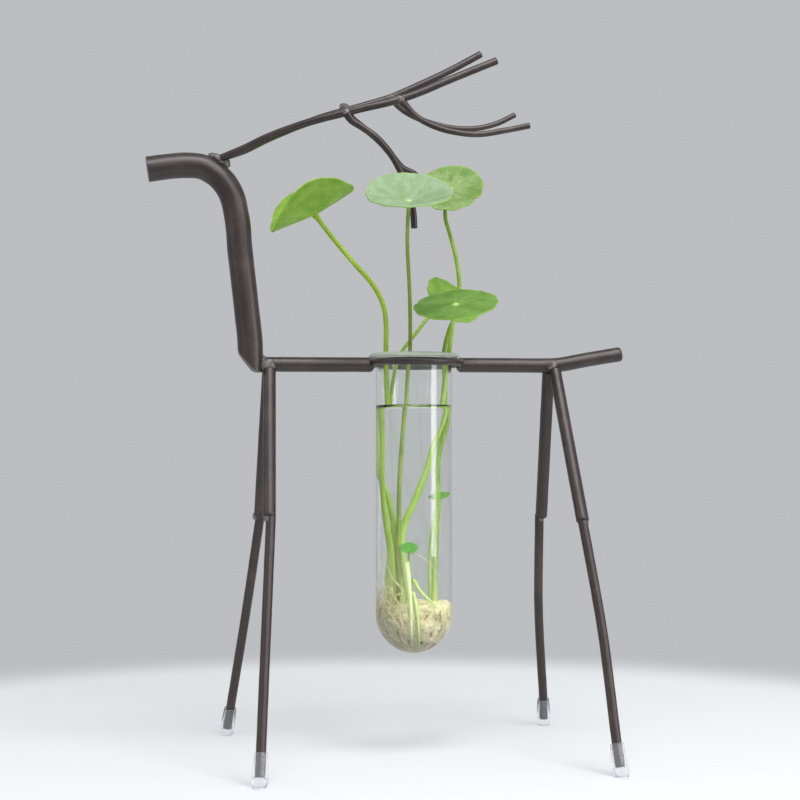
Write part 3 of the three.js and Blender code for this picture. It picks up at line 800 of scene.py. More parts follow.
def studio_world(recipe, settings):
    """Even white light from all round, and the backdrop where a ray meets nothing."""
    light = recipe.shader("Background", {"Color": (1, 1, 1), "Strength": settings.sky})
    backdrop = recipe.shader("Background", {"Color": settings.backdrop, "Strength": 1.0})
    mixed = recipe.mix(recipe.backdrop_rays(), light, backdrop)
    recipe.node("OutputWorld", {}, {"Surface": mixed})


# Mesh helpers


def smooth_route(points, spacing):
    """Points about a spacing apart, in millimetres, on the smooth curve through the given ones."""
    spacing *= MM
    if len(points) == 2:
        start, end = points
        steps = max(2, round((end - start).length / spacing))
        return [start.lerp(end, i / steps) for i in range(steps + 1)]
    before = 2 * points[0] - points[1]
    after = 2 * points[-1] - points[-2]
    chain = [before, *points, after]
    route = [points[0]]
    for p0, p1, p2, p3 in zip(chain, chain[1:], chain[2:], chain[3:]):
        d0, d1, d2 = ((b - a).length ** 0.5 for a, b in ((p0, p1), (p1, p2), (p2, p3)))
        lead = ((p1 - p0) / d0 - (p2 - p0) / (d0 + d1) + (p2 - p1) / d1) * d1
        trail = ((p2 - p1) / d1 - (p3 - p1) / (d1 + d2) + (p3 - p2) / d2) * d1
        steps = max(2, round((p2 - p1).length / spacing))
        for i in range(1, steps + 1):
            t = i / steps
            route.append(
                (2 * t**3 - 3 * t**2 + 1) * p1 + (t**3 - 2 * t**2 + t) * lead
                + (3 * t**2 - 2 * t**3) * p2 + (t**3 - t**2) * trail
            )
    return route


def extrude_rim(bm, edges):
    """Extrudes open edges and gives the new vertices and the new open edges."""
    made = bmesh.ops.extrude_edge_only(bm, edges=edges)["geom"]
    verts = [item for item in made if isinstance(item, bmesh.types.BMVert)]
    return verts, [item for item in made if isinstance(item, bmesh.types.BMEdge) and item.is_boundary]


def sweep(bm, route, radius_at, sides):
    """Extrudes a circle along a route; radius_at gives its radius from the share of the way there."""
    up = Vector((0, 0, 1))
    turn = up.rotation_difference(route[1] - route[0])
    last = None
    for i, here in enumerate(route):
        ahead = route[min(i + 1, len(route) - 1)] - route[max(i - 1, 0)]
        turn = (turn @ up).rotation_difference(ahead) @ turn
        radius = radius_at(i / (len(route) - 1))
        now = Matrix.LocRotScale(here, turn, (radius, radius, radius))
        if last is None:
            ring = bmesh.ops.create_circle(bm, segments=sides, radius=1, matrix=now)["verts"]
            edges = list(dict.fromkeys(edge for vertex in ring for edge in vertex.link_edges))
        else:
            ring, edges = extrude_rim(bm, edges)
            bmesh.ops.transform(bm, matrix=now @ last.inverted(), verts=ring)
        last = now


def narrowing(first, last):
    """The radius of a strand, from first at its start to last at its end, in millimetres."""
    return lambda share: (first + (last - first) * share) * MM


def round_edges(bm, edges, rounding, segments=3):
    """Bevels edges to a soft rim, its width in millimetres."""
    bmesh.ops.bevel(
        bm, geom=edges, offset=rounding * MM, offset_type="OFFSET", segments=segments, profile=0.5,
        affect="EDGES", material=-1, clamp_overlap=True,
    )


def close_ends(bm, rounding=0, segments=3):
    """Fills the open ends of a swept or cut shape and rounds their rims."""
    rims = [edge for edge in bm.edges if edge.is_boundary]
    bmesh.ops.holes_fill(bm, edges=rims, sides=0)
    if rounding:
        round_edges(bm, rims, rounding, segments)


def strand(route, radius_at, sides, rounding=0, segments=3):
    """A closed rod, stem or root along a route."""
    bm = bmesh.new()
    sweep(bm, route, radius_at, sides)
    close_ends(bm, rounding, segments)
    return bm


def spin_round(bm, steps):
    """Spins a mesh once round Z and merges its seam and its poles."""
    bmesh.ops.spin(
        bm, geom=[*bm.verts, *bm.edges], cent=(0, 0, 0), axis=(0, 0, 1), dvec=(0, 0, 0),
        angle=math.tau, steps=steps, use_merge=True, use_duplicate=False,
    )
    bmesh.ops.remove_doubles(bm, verts=bm.verts, dist=SAME_PLACE)


def turned(profile, steps):
    """A closed shape spun round Z from a profile of radii and heights in millimetres."""
    bm = bmesh.new()
    made = [bm.verts.new((r * MM, 0, z * MM)) for r, z in profile]
    for pair in zip(made, made[1:]):
        bm.edges.new(pair)
    spin_round(bm, steps)
    return bm


def arc(middle_r, middle_z, radius, start, end, steps):
    """Points of a circle's arc, its angles in degrees."""
    angles = [math.radians(start + (end - start) * i / steps) for i in range(steps + 1)]
    return [(middle_r + radius * math.cos(a), middle_z + radius * math.sin(a)) for a in angles]


def roughen(bm, depth, grain, seed=0.0):
    """Pushes each vertex in or out by a soft random amount; depth and grain are in metres."""
    bm.normal_update()
    for vertex in bm.verts:
        push = noise.noise(vertex.co / grain + Vector((seed, 0, 0)))
        vertex.co += vertex.normal * push * depth


def linked(name, data):
    """A new object of the scene, which shows a mesh, a lamp or a camera."""
    made = bpy.data.objects.new(name, data)
    bpy.context.scene.collection.objects.link(made)
    return made


def mesh_object(bm, name, material):
    """Turns a bmesh into an object of one material."""
    mesh = bpy.data.meshes.new(name)
    bm.to_mesh(mesh)
    bm.free()
    mesh.materials.append(material)
    return linked(name, mesh)


def keep_piece(bm, name, body, material, stands_for=(), recalculate=True):
    """Turns a bmesh into a piece that rides on a body and stands for its CAD nodes."""
    if recalculate:
        bmesh.ops.recalc_face_normals(bm, faces=bm.faces)
        if bm.calc_volume(signed=True) < 0:
            bmesh.ops.reverse_faces(bm, faces=bm.faces)
    for face in bm.faces:
        face.smooth = True
    for edge in bm.edges:
        edge.smooth = edge.calc_face_angle(0) < SHARP
    piece = mesh_object(bm, name, material)
    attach(piece, body)
    if stands_for:
        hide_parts(*stands_for)
    return piece


def keep_iron(bm, name, settings, thin=False, stands_for=()):
    """Keeps a piece of the stand in the rods' finish, which is smoother on thin rods."""
    finish, roughness = ("thin_blackened_iron", 0.2) if thin else ("blackened_iron", 1.0)
    material = made_once(finish, blackened_iron, roughness, settings)
    keep_piece(bm, name, "stand", material, stands_for)


def rod_piece(context, name, points, radius, stands_for, rounding, spacing=1.3, flare=None):
    """A hand-forged rod along a smooth route, with rounded ends."""
    settings = context.scene.vase_iron
    route = smooth_route(points, spacing)
    bm = strand(route, flare or narrowing(radius, radius), settings.sides, rounding)
    roughen(bm, settings.wobble, 0.004, radius)
    keep_iron(bm, name, settings, radius < THIN_ROD, [stands_for])


def weld_piece(context, name, centre, halves, seed, lean=0):
    """A lumpy bead of weld metal with half sizes along X, Y and Z, leaning round Y."""
    bm = bmesh.new()
    bmesh.ops.create_icosphere(bm, subdivisions=4, radius=1)
    turn = Matrix.Rotation(math.radians(lean), 4, "Y")
    shape = Matrix.Translation(centre) @ turn @ Matrix.Diagonal((*mm(*halves), 1))
    bmesh.ops.transform(bm, matrix=shape, verts=bm.verts)
    for depth, grain in WELD_LUMPS:
        roughen(bm, depth, grain, seed)
    for _ in range(2):
        bmesh.ops.smooth_vert(
            bm, verts=bm.verts, factor=0.5, use_axis_x=True, use_axis_y=True, use_axis_z=True
        )
    metal = made_once("coated_weld", coated_weld, context.scene.vase_iron)
    keep_piece(bm, name, "stand", metal)


# Operators, one for each piece or group of like pieces


class VASE_OT_neck(bpy.types.Operator):
    """Bends the neck and head from one bar"""

    bl_idname = "vase.neck"
    bl_label = "Neck and head"

    def execute(self, context):
        settings = context.scene.vase_iron
        points = [place(NECK_FOOT + x, 0, NECK_FOOT_Z + z) for x, z in NECK_POINTS]
        bm = strand(smooth_route(points, 1.2), narrowing(NECK_RADIUS, NECK_RADIUS), NECK_SIDES)
        cut_limit = place(0, 0, NECK_FOOT_Z + NECK_CUT_LIMIT).z
        for angle, x, z, depth in NECK_CUTS:
            outward = Vector((-math.sin(math.radians(angle)), 0, -math.cos(math.radians(angle))))
            corner = place(NECK_FOOT + x, 0, NECK_FOOT_Z + z) - outward * depth * MM
            faces = [face for face in bm.faces if face.calc_center_median().z < cut_limit]
            rest = dict.fromkeys(part for face in faces for part in (*face.verts, *face.edges))
            bmesh.ops.bisect_plane(
                bm, geom=[*rest, *faces], plane_co=corner, plane_no=outward, clear_outer=True
            )
            close_ends(bm)
        bm.normal_update()
        rims = [
            edge for edge in bm.edges
            if len(edge.link_faces) == 2 and edge.calc_face_angle(0) > NECK_RIM_TURN
        ]
        round_edges(bm, rims, NECK_RIM_ROUNDING)
        roughen(bm, 2 * settings.wobble, 0.006)
        keep_iron(bm, "neck_and_head", settings, stands_for=["neck_bar"])
        return {"FINISHED"}


class VASE_OT_back(bpy.types.Operator):
    """Lays the two back rods and the tail, and bends the ring between them"""

    bl_idname = "vase.back"
    bl_label = "Back, ring and tail"

    def execute(self, context):
        ring_end = RING_OFFSET - RING_RADIUS
        ring_start = RING_OFFSET + RING_RADIUS

        def on_back(x):
            return place(x, 0, back_at(x))

        def along_tail(length, share):
            rise = TAIL_RISE * share
            return place(RUMP + length * math.cos(rise), 0, back_at(RUMP) + length * math.sin(rise))

        front = [on_back(BACK_FRONT), on_back(ring_end)]
        rod_piece(context, "back_front", front, BACK_RADIUS, "back_rod_front", 0.35)
        rear = [
            on_back(ring_start),
            on_back((ring_start + RUMP) / 2),
            on_back(RUMP - BACK_RADIUS),
            along_tail(BACK_RADIUS, 0.6),
            along_tail(TAIL_LENGTH / 2, 1),
            along_tail(TAIL_LENGTH, 1),
        ]
        rod_piece(context, "back_and_tail", rear, BACK_RADIUS, "back_rod_tail", 0.8)

        settings = context.scene.vase_iron
        bm = bmesh.new()
        upright = Matrix.Translation(mm(RING_RADIUS, 0, 0)) @ Matrix.Rotation(math.radians(90), 4, "X")
        bmesh.ops.create_circle(bm, segments=20, radius=RING_WIRE_RADIUS * MM, matrix=upright)
        spin_round(bm, 96)
        bmesh.ops.translate(bm, vec=place(RING_OFFSET, 0, RING_Z), verts=bm.verts)
        roughen(bm, settings.wobble, 0.004)
        keep_iron(bm, "tube_ring_wire", settings, True, ["tube_ring"])
        return {"FINISHED"}


def leg_points(leg):
    """The places that a leg passes, and the direction of its shin."""
    _, top, knee, shin, foot, bow, _ = leg
    top_place = place(top[0], top[1], back_at(top[0]) + top[2])
    knee_place = place(*knee)
    along = (top_place - knee_place).normalized()
    top_place += along * (THIGH_TOP - top[2]) / along.z * MM
    shin_place = place(*shin)
    foot_place = place(*foot, 0)
    axis = (shin_place - foot_place).normalized()
    ankle = foot_place + axis * CAP_LENGTH * MM
    end = foot_place + axis * (CAP_PAD + CAP_PLAY) * MM
    middle = shin_place.lerp(ankle, 0.5) + mm(bow, 0, 0)
    shin_place += axis * SHIN_START * MM
    return [top_place, knee_place], [shin_place, middle, ankle, end], axis, foot_place


class VASE_OT_legs(bpy.types.Operator):
    """Welds four legs from a thick thigh and a thinner shin"""

    bl_idname = "vase.legs"
    bl_label = "Legs"

    def execute(self, context):
        for leg in LEGS:
            name = leg[0]
            thigh, shin, _, _ = leg_points(leg)
            rod_piece(context, name + "_upper_leg", thigh, THIGH_RADIUS, name + "_thigh", 0.5)
            rod_piece(context, name + "_lower_leg", shin, SHIN_RADIUS, name + "_shin", 0.25, 1.6)
        return {"FINISHED"}


def cap_profile():
    """A cap's outline: its pad, its bore, its round rim, and its outside to below the ground."""
    rim = (CAP_TOP_RADIUS - CAP_BORE) / 2
    return [
        (0, CAP_PAD),
        (CAP_BORE - 0.3, CAP_PAD),
        (CAP_BORE, CAP_PAD + 0.3),
        *arc(CAP_BORE + rim, CAP_LENGTH - rim, rim, 180, 0, 8),
        (CAP_RADIUS, CAP_PAD + 1.6),
        (CAP_RADIUS + 0.06, CAP_PAD),
        (CAP_RADIUS - 0.12, 1.6),
        (CAP_RADIUS - 0.5, 0),
        (CAP_RADIUS - 0.7, -CAP_RADIUS),
        (0, -CAP_RADIUS),
    ]


class VASE_OT_foot_caps(bpy.types.Operator):
    """Turns four clear rubber caps and cuts them level with the ground"""

    bl_idname = "vase.foot_caps"
    bl_label = "Foot caps"

    def execute(self, context):
        rubber = made_once("see_through_rubber", see_through_rubber, context.scene.vase_tube)
        for leg in LEGS:
            name = leg[0]
            _, _, axis, foot = leg_points(leg)
            bm = turned(cap_profile(), 40)
            lean = Vector((0, 0, 1)).rotation_difference(axis).to_matrix().to_4x4()
            bmesh.ops.transform(bm, matrix=Matrix.Translation(foot) @ lean, verts=bm.verts)
            bmesh.ops.bisect_plane(
                bm, geom=[*bm.verts, *bm.edges, *bm.faces], plane_co=(0, 0, 0), plane_no=(0, 0, -1),
                clear_outer=True,
            )
            close_ends(bm, CAP_ROUNDING)
            keep_piece(bm, name + "_clear_cap", "stand", rubber, [name + "_foot_cap"])
        return {"FINISHED"}


def antler_route(side, points):
    """A rod of an antler as places in the row frame."""
    root_x, root_y, root_z = ANTLER_ROOT
    return [
        place(root_x + x, root_y + side * share * ANTLER_REACH, BACK_HEIGHT + root_z + z)
        for x, share, z in points
    ]


def tapering(radius):
    """A tine's radius, swollen where it is welded on and a little thinner at its tip."""
    return lambda share: radius * MM * (1 + TINE_SWELL * max(0, 1 - share * 9) - 0.06 * share)


class VASE_OT_antlers(bpy.types.Operator):
    """Bends two antlers, each a beam with a low and a high tine"""

    bl_idname = "vase.antlers"
    bl_label = "Antlers"

    def execute(self, context):
        for name, side, beam, *tines in ANTLERS:
            rod_piece(
                context, name + "_main_rod", antler_route(side, beam), BEAM_RADIUS, name + "_beam", 0.2
            )
            for height, points, radius in zip(("low", "high"), tines, (LOW_TINE_RADIUS, HIGH_TINE_RADIUS)):
                tine = f"{name}_{height}_tine"
                route = antler_route(side, points)
                rod_piece(context, tine + "_rod", route, radius, tine, 0.2, flare=tapering(radius))
        return {"FINISHED"}


class VASE_OT_welds(bpy.types.Operator):
    """Adds the weld beads at the joints of the rods"""

    bl_idname = "vase.welds"
    bl_label = "Welds"

    def execute(self, context):
        for seed, (name, top, knee, _, _, _, bead) in enumerate(LEGS):
            weld_piece(context, name + "_knee_weld", place(*knee) + mm(*bead), KNEE_BEAD, seed + 1.3)
            side = -1 if top[1] < 0 else 1
            shift, halves = (-0.3, FRONT_HIP_BEAD) if top[0] < 0 else (-0.9, REAR_HIP_BEAD)
            flank = place(top[0] + shift, side * 2.5, back_at(top[0]) - 0.5)
            weld_piece(context, name + "_hip_weld", flank, halves, seed + 7.7)
        neck_joint = place(BACK_FRONT - 0.1, 0, back_at(BACK_FRONT) + 0.2)
        weld_piece(context, "neck_weld", neck_joint, NECK_BEAD, 21.4)
        for name, end in (("front", -1), ("rear", 1)):
            x = RING_OFFSET + end * (RING_RADIUS + 0.6)
            weld_piece(context, f"ring_{name}_weld", place(x, 0, back_at(x) + 0.2), RING_BEAD, 31 + end)
        root_x, root_y, root_z = ANTLER_ROOT
        root = place(root_x, root_y, BACK_HEIGHT + root_z)
        for name, offset, halves, seed, lean in ANTLER_BEADS:
            weld_piece(context, name, root + mm(*offset), halves, seed, lean)
        for name, side, _, *tines in ANTLERS:
            for height, route, lean in zip(("low", "high"), tines, (10, 4)):
                first, second = antler_route(side, route[:2])
                joint = first.lerp(second, 0.05)
                bead = f"{name}_{height}_tine_weld"
                weld_piece(context, bead, joint, TINE_BEAD, 50 + lean + side, lean)
        return {"FINISHED"}


class VASE_OT_glass(bpy.types.Operator):
    """Spins the glass tube with its round bottom and flared lip"""

    bl_idname = "vase.glass"
    bl_label = "Glass tube"

    def execute(self, context):
        settings = context.scene.vase_tube
        lip_round = LIP_HEIGHT / 2
        under = LIP_UNDERSIDE
        profile = arc(0, BOWL_Z, TUBE_RADIUS, -90, 0, 24)
        profile += [(TUBE_RADIUS, z) for z in WALL_RINGS]
        profile += arc(TUBE_RADIUS + under, LIP_Z - under, under, 180, 90, 6)
        profile += arc(LIP_RADIUS - lip_round, MOUTH_Z - lip_round, lip_round, -90, 90, 10)
        profile += arc(BORE_RADIUS + INNER_FLARE, MOUTH_Z - INNER_FLARE, INNER_FLARE, 90, 180, 10)
        profile += [(BORE_RADIUS, z) for z in reversed(WALL_RINGS)]
        profile += arc(0, BOWL_Z, BORE_RADIUS, 0, -90, 24)
        bm = turned(profile, settings.sides)
        bmesh.ops.translate(bm, vec=place(0, 0, 0), verts=bm.verts)
        glass = made_once("drawn_glass", drawn_glass, settings)
        keep_piece(bm, "drawn_glass_tube", "tube", glass, ["glass_tube"])
        return {"FINISHED"}


class VASE_OT_water(bpy.types.Operator):
    """Fills the tube with water that climbs the glass at its edge"""

    bl_idname = "vase.water"
    bl_label = "Water"

    def execute(self, context):
        settings = context.scene.vase_tube
        level = settings.water_level / MM
        climb = settings.meniscus / MM
        edge = BORE_RADIUS + WATER_OVERLAP
        profile = arc(0, BOWL_Z, edge, -90, 0, 24)
        profile += [(edge, z) for z in WATER_RINGS]
        for i in range(SURFACE_RINGS + 1):
            r = edge * (1 - i / SURFACE_RINGS) ** SURFACE_CROWDING
            profile.append((r, level + climb * math.exp(-(edge - r) / MENISCUS_FADE)))
        bm = turned(profile, settings.sides)
        bmesh.ops.translate(bm, vec=place(0, 0, 0), verts=bm.verts)
        water = made_once("still_water", still_water, settings)
        keep_piece(bm, "water", "tube", water)
        return {"FINISHED"}


def inside_tube(point):
    """A stalk's point inside the tube."""
    x, y, height = point
    level = FLOOR_Z + (MOUTH_Z - FLOOR_Z) * height / 100
    return place(BORE_RADIUS * x / 100, BORE_RADIUS * y / 100, level)


def above_mouth(point):
    """A stalk's point above the tube's mouth."""
    x, y, height = point
    return place(x, y, MOUTH_Z + height)


def random_share(seed):
    """A fixed number from 0 to 1 for a seed."""
    return (math.sin(seed * 12.9898) * 43758.5453) % 1


def between(low, high, seed):
    """A fixed number from low to high for a seed."""
    return low + (high - low) * random_share(seed)


def leaf_surface(leaf, wave_seed, vein_depth):
    """How a flat disc bends into a leaf: cup, fold, scalloped rim, low waves and sunken veins."""
    rim = leaf["radius"] * math.cos(math.radians(leaf["cup"]))
    slope = math.tan(math.radians(leaf["cup"]))
    fold_slope = math.tan(math.radians(leaf["fold"]))

    def bent(flat):
        r = math.hypot(flat.x, flat.y)
        angle = math.atan2(flat.y, flat.x)
        outward = r / rim
        lobe = angle + math.radians(leaf["vein_turn"])
        # the rim: a scallop at each lobe, and between them a notch whose depth varies
        wave = math.cos(LEAF_LOBES * lobe) + 0.5 * math.cos((LEAF_LOBES / 2 - 1) * lobe)
        depth = 0.4 + 5 * random_share(math.floor(LEAF_LOBES * lobe / math.tau) + wave_seed) ** 4
        notch = depth * max(0, -math.cos(LEAF_LOBES * lobe)) ** 10
        scale = 1 + leaf["scallop"] * (wave - notch) * outward**4
        # the height: cup, fold, low waves, and ridges between the sunken veins
        lift = slope * r * (0.75 + 0.25 * outward)
        lift += fold_slope * r * math.sin(angle - math.radians(leaf["fold_turn"])) ** 2
        lift += 0.008 * leaf["radius"] * outward**3 * math.sin(3 * angle + wave_seed)
        lift += 0.003 * leaf["radius"] * outward**4 * math.cos(LEAF_LOBES * lobe + wave_seed)
        ridge = abs(math.sin(LEAF_LOBES * lobe / 2)) ** 0.6
        lift += vein_depth * ridge * min(1, 4 * outward * (1.15 - outward))
        return Vector((flat.x * scale, lift, flat.y * scale))

    return rim, bent


def leaf_mesh(leaf, centre, wave_seed, vein_depth, rings, segments):
    """A leaf's blade as one sheet with its flat shape kept as a UV map."""
    rim, bent = leaf_surface(leaf, wave_seed, vein_depth / MM)
    bm = bmesh.new()
    flat_map = bm.loops.layers.uv.new("blade")
    bmesh.ops.create_circle(bm, cap_ends=True, cap_tris=True, segments=segments, radius=rim / rings)
    edges = [edge for edge in bm.edges if edge.is_boundary]
    for ring in range(2, rings + 1):
        verts, edges = extrude_rim(bm, edges)
        bmesh.ops.scale(bm, vec=(ring / (ring - 1),) * 3, verts=verts)
    for face in bm.faces:
        for loop in face.loops:
            loop[flat_map].uv = (0.5 + loop.vert.co.x / rim / 2, 0.5 + loop.vert.co.y / rim / 2)
    for vertex in bm.verts:
        vertex.co = bent(vertex.co) * MM
    facing = Vector(leaf["facing"]).normalized()
    turn = Vector((0, 1, 0)).rotation_difference(facing)
    bmesh.ops.transform(bm, matrix=Matrix.LocRotScale(centre, turn, None), verts=bm.verts)
    bmesh.ops.recalc_face_normals(bm, faces=bm.faces)
    bm.normal_update()
    if sum((face.normal * face.calc_area() for face in bm.faces), Vector()).dot(facing) < 0:
        bmesh.ops.reverse_faces(bm, faces=bm.faces)
    return bm


def keep_leaf(bm, name, skin, stands_for, thickness):
    """Keeps a leaf's sheet as a piece and makes it a thin solid with a soft edge."""
    piece = keep_piece(bm, name, "plant", skin, [stands_for], recalculate=False)
    wall = piece.modifiers.new("wall", "SOLIDIFY")
    wall.thickness = thickness
    wall.offset = 0
    soft = piece.modifiers.new("soft_edge", "BEVEL")
    soft.width = 0.35 * thickness
    soft.segments = 2
    soft.limit_method = "ANGLE"
    soft.angle_limit = math.radians(50)


class VASE_OT_leaves(bpy.types.Operator):
    """Shapes the five round leaves"""

    bl_idname = "vase.leaves"
    bl_label = "Leaves"

    def execute(self, context):
        settings = context.scene.vase_plant
        for number, shoot in enumerate(SHOOTS):
            name = shoot["name"]
            leaf = shoot["leaf"]
            centre = above_mouth(shoot["above"][-1])
            details = shoot["blade"], shoot["veins"], leaf["vein_turn"], settings
            skin = made_once(name + "_leaf_skin", leaf_skin, *details)
            bm = leaf_mesh(leaf, centre, 1.7 * number, settings.vein_depth, LEAF_RINGS, LEAF_SEGMENTS)
            keep_leaf(bm, name + "_round_leaf", skin, name + "_leaf", settings.leaf_thickness)
        return {"FINISHED"}


def stalk_radius(shoot, route, start_z):
    """A stalk's radius: swollen by the sheath at its foot and by the leaf at its end."""
    heights = [(here.z - start_z) / MM for here in route]

    def radius_at(share):
        height = heights[round(share * (len(heights) - 1))]
        foot = shoot["sheath"] * math.exp(-((max(0, height) / SHEATH_HEIGHT) ** 2))
        tip = 0.5 * max(0, (share - LEAF_START) / (1 - LEAF_START))
        return shoot["radius"] * MM * (1.04 - 0.12 * share + foot + tip)

    return radius_at


class VASE_OT_stalks(bpy.types.Operator):
    """Grows the five stalks from the crown to their leaves"""

    bl_idname = "vase.stalks"
    bl_label = "Stalks"

    def execute(self, context):
        for shoot in SHOOTS:
            name = shoot["name"]
            x, y, height = shoot["inside"][0]
            inside = [(0.9 * x, 0.9 * y, height - 5), *shoot["inside"]]
            points = [inside_tube(p) for p in inside] + [above_mouth(p) for p in shoot["above"]]
            route = smooth_route(points, 1.6)
            bm = strand(route, stalk_radius(shoot, route, points[1].z), 24, 0.12, 2)
            skin = made_once(name + "_stalk_skin", stalk_skin, shoot["stem"])
            keep_piece(bm, name + "_green_stalk", "plant", skin, [name + "_stalk"])
        return {"FINISHED"}


class VASE_OT_young_shoots(bpy.types.Operator):
    """Grows the two young shoots under water"""

    bl_idname = "vase.young_shoots"
    bl_label = "Young shoots"

    def execute(self, context):
        settings = context.scene.vase_plant
        skin = made_once("young_leaf_skin", leaf_skin, YOUNG_BLADE, 0.3, 0, settings)
        stem = made_once("young_stalk_skin", stalk_skin, YOUNG_STEM)
        for number, shoot in enumerate(YOUNG_SHOOTS):
            name = shoot["name"]
            points = [inside_tube(p) for p in shoot["inside"]]
            vein_depth = 0.4 * settings.vein_depth
            details = 2.1 * number, vein_depth, YOUNG_RINGS, YOUNG_SEGMENTS
            bm = leaf_mesh(shoot["leaf"], points[-1], *details)
            keep_leaf(bm, name + "_blade", skin, name + "_shoot", 0.7 * settings.leaf_thickness)
            radius = shoot["radius"]
            bm = strand(smooth_route(points, 1.2), narrowing(1.1 * radius, 0.8 * radius), 10, 0.1, 2)
            keep_piece(bm, name + "_stem", "plant", stem)
        return {"FINISHED"}


def on_bowl(turn, sink, away):
    """A point by the tube's wall: sink is its angle from the round bottom's lowest point."""
    height = -away * math.cos(sink) if sink < math.pi / 2 else away * (sink - math.pi / 2)
    reach = away * math.sin(min(sink, math.pi / 2))
    return place(reach * math.cos(turn), reach * math.sin(turn), BOWL_Z + height)


def wandering(turn, sink, away, seed):
    """Five places of a root that climbs the wall and strays sideways."""
    points = []
    for step in range(5):
        points.append(on_bowl(turn, sink, away + 0.3 * math.sin(2.1 * step + seed)))
        turn += between(-0.25, 0.25, seed + 17.3 * step)
        sink -= between(0.10, 0.26, seed + 7.7 * step)
    return points


def add_root(bm, points, spacing, radius_at, sides):
    """Adds a root along a smooth route; it is swept in a mesh of its own, which is quicker."""
    root = strand(smooth_route(points, spacing), radius_at, sides)
    mesh = bpy.data.meshes.new("root")
    root.to_mesh(mesh)
    root.free()
    bm.from_mesh(mesh)
    bpy.data.meshes.remove(mesh)


def root_mat():
    """The lumpy mat: a ball flattened on top, up to the crown's height, and lower on the head side."""
    top = (MOUTH_Z - FLOOR_Z) * CROWN_HEIGHT / 100 + FLOOR_Z - BOWL_Z
    bm = bmesh.new()
    bmesh.ops.create_icosphere(bm, subdivisions=5, radius=1)
    for vertex in bm.verts:
        if vertex.co.z > 0:
            x = vertex.co.x
            vertex.co.z = vertex.co.z**0.6 * (1 + 0.1 * x - 0.45 * max(0, -x)) * top / MAT_RADIUS
    shape = Matrix.Translation(place(0, 0, BOWL_Z)) @ Matrix.Scale(MAT_RADIUS * MM, 4)
    bmesh.ops.transform(bm, matrix=shape, verts=bm.verts)
    for depth, grain, seed in MAT_LUMPS:
        roughen(bm, depth, grain, seed)
    return bm


def fine_roots(count):
    """Hair-thin roots on the mat, thicker ones that climb the glass, and the loose fibres."""
    bm = bmesh.new()
    for i in range(count):
        sink = between(0.7, 2.0, i + 0.5)
        away = MAT_RADIUS + between(0.1, 1.0, i + 91.7)
        thick = between(0.07, 0.20, i + 8.8)
        points = wandering(i * EVEN_TURN, sink, away, i)
        add_root(bm, points, 1.0, narrowing(1.1 * thick, 0.5 * thick), 5)
    for i in range(count // 3):
        turn = math.pi * between(0.95, 1.33, i + 31.1)
        sink = 1.5 + 1.2 * random_share(i + 47.9) ** 1.3
        away = MAT_RADIUS + between(0.5, 1.2, i + 63.3)
        points = wandering(turn, sink, away, i + 0.4)
        add_root(bm, points, 1.0, narrowing(0.20, 0.11), 5)
    for fibre in LOOSE_FIBRES:
        add_root(bm, [inside_tube(point) for point in fibre], 0.8, narrowing(0.17, 0.08), 6)
    return bm


def bulging(thick):
    """The radius of a scrap that is thickest in its middle, in millimetres."""
    return lambda share: thick * (1.1 - 0.9 * abs(2 * share - 1) ** 2) * MM


def dead_scraps():
    """Small scraps all round the mat and a few large ones."""
    bm = bmesh.new()
    for i in range(SMALL_SCRAPS):
        turn = i * 2.4
        sink = between(0.45, 1.85, i + 2.2)
        start = on_bowl(turn, sink, MAT_RADIUS + 0.4)
        sink -= between(0.12, 0.32, i + 5)
        end = on_bowl(turn + 0.14 * math.sin(i), sink, MAT_RADIUS + 0.5)
        thick = 0.36 + 0.6 * random_share(i + 13.3) ** 3
        sweep(bm, smooth_route([start, end], 0.5), narrowing(thick, 0.3 * thick), 6)
    for turn, first, last, thick in LARGE_SCRAPS:
        away = MAT_RADIUS + 0.9 - thick
        ends = [on_bowl(math.radians(turn), math.radians(sink), away) for sink in (first, last)]
        sweep(bm, smooth_route(ends, 0.5), bulging(thick), 8)
    close_ends(bm)
    roughen(bm, 0.0002, 0.0006, 9.9)
    return bm


class VASE_OT_roots(bpy.types.Operator):
    """Grows the crown and the mat of fine roots in the tube's round bottom"""

    bl_idname = "vase.roots"
    bl_label = "Crown and roots"

    def execute(self, context):
        settings = context.scene.vase_plant
        cream = made_once("fine_root", fine_root, settings)
        brown = made_once("withered_scrap", withered_scrap, settings)
        keep_piece(root_mat(), "root_mat", "plant", cream, ["root_crown"])
        keep_piece(fine_roots(settings.root_count), "fine_roots", "plant", cream)
        for name, radius, points, tones in OLD_STEMS:
            route = smooth_route([inside_tube(point) for point in points], 1.0)
            bm = strand(route, narrowing(radius, 0.55 * radius), 12, 0.1, 2)
            skin = made_once(name + "_skin", stalk_skin, tones)
            keep_piece(bm, name, "plant", skin)
        keep_piece(dead_scraps(), "withered_scraps", "plant", brown)
        return {"FINISHED"}


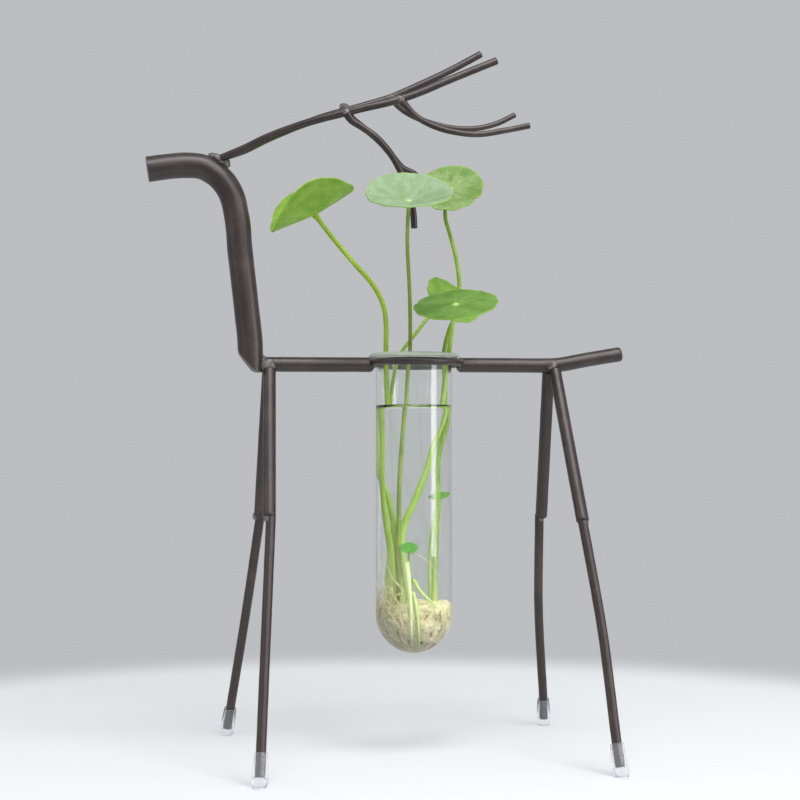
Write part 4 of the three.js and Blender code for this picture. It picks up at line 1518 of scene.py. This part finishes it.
class VASE_OT_stage(bpy.types.Operator):
    """Sets up the floor, the world, the lamps and the camera"""

    bl_idname = "vase.stage"
    bl_label = "Stage"

    def execute(self, context):
        settings = context.scene.vase_stage
        bm = bmesh.new()
        bmesh.ops.create_circle(bm, cap_ends=True, cap_tris=True, segments=96, radius=FLOOR_RADIUS)
        floor = mesh_object(bm, "floor", made_once("pale_floor", pale_floor, settings))

        world = bpy.data.worlds.new("studio")
        studio_world(Recipe(world), settings)
        context.scene.world = world

        for name, spot, width, height, watts in LAMPS:
            data = bpy.data.lights.new(name, "AREA")
            data.shape = "RECTANGLE"
            data.size = width
            data.size_y = height
            data.energy = watts * settings.lamps
            lamp = linked(name, data)
            lamp.location = spot
            lamp.rotation_euler = (LAMPS_AIM - Vector(spot)).to_track_quat("-Z", "Y").to_euler()

        data = bpy.data.cameras.new("camera")
        data.lens = CAMERA_LENS
        data.sensor_width = CAMERA_SENSOR
        camera = linked("camera", data)
        camera.location = CAMERA_PLACE
        camera.rotation_euler = CAMERA_TURN
        context.scene.camera = camera
        context.scene.view_settings.view_transform = "Standard"
        return {"FINISHED"}


OPERATORS = (
    VASE_OT_stage,
    VASE_OT_neck,
    VASE_OT_back,
    VASE_OT_legs,
    VASE_OT_foot_caps,
    VASE_OT_antlers,
    VASE_OT_welds,
    VASE_OT_glass,
    VASE_OT_water,
    VASE_OT_stalks,
    VASE_OT_leaves,
    VASE_OT_young_shoots,
    VASE_OT_roots,
)
SETTINGS = (
    ("vase_iron", IronSettings),
    ("vase_tube", TubeSettings),
    ("vase_plant", PlantSettings),
    ("vase_stage", StageSettings),
)


class VASE_PT_panel(bpy.types.Panel):
    """Lists the steps that build the vase"""

    bl_label = "Deer vase"
    bl_space_type = "VIEW_3D"
    bl_region_type = "UI"
    bl_category = "Deer vase"

    def draw(self, context):
        for operator in OPERATORS:
            self.layout.operator(operator.bl_idname)


def register():
    for name, group in SETTINGS:
        bpy.utils.register_class(group)
        setattr(bpy.types.Scene, name, PointerProperty(type=group))
    for kind in (*OPERATORS, VASE_PT_panel):
        bpy.utils.register_class(kind)


def unregister():
    for kind in (VASE_PT_panel, *reversed(OPERATORS)):
        bpy.utils.unregister_class(kind)
    for name, group in reversed(SETTINGS):
        delattr(bpy.types.Scene, name)
        bpy.utils.unregister_class(group)


def main():
    register()
    for operator in OPERATORS:
        family, step = operator.bl_idname.split(".")
        getattr(getattr(bpy.ops, family), step)()


if __name__ == "__main__":
    main()
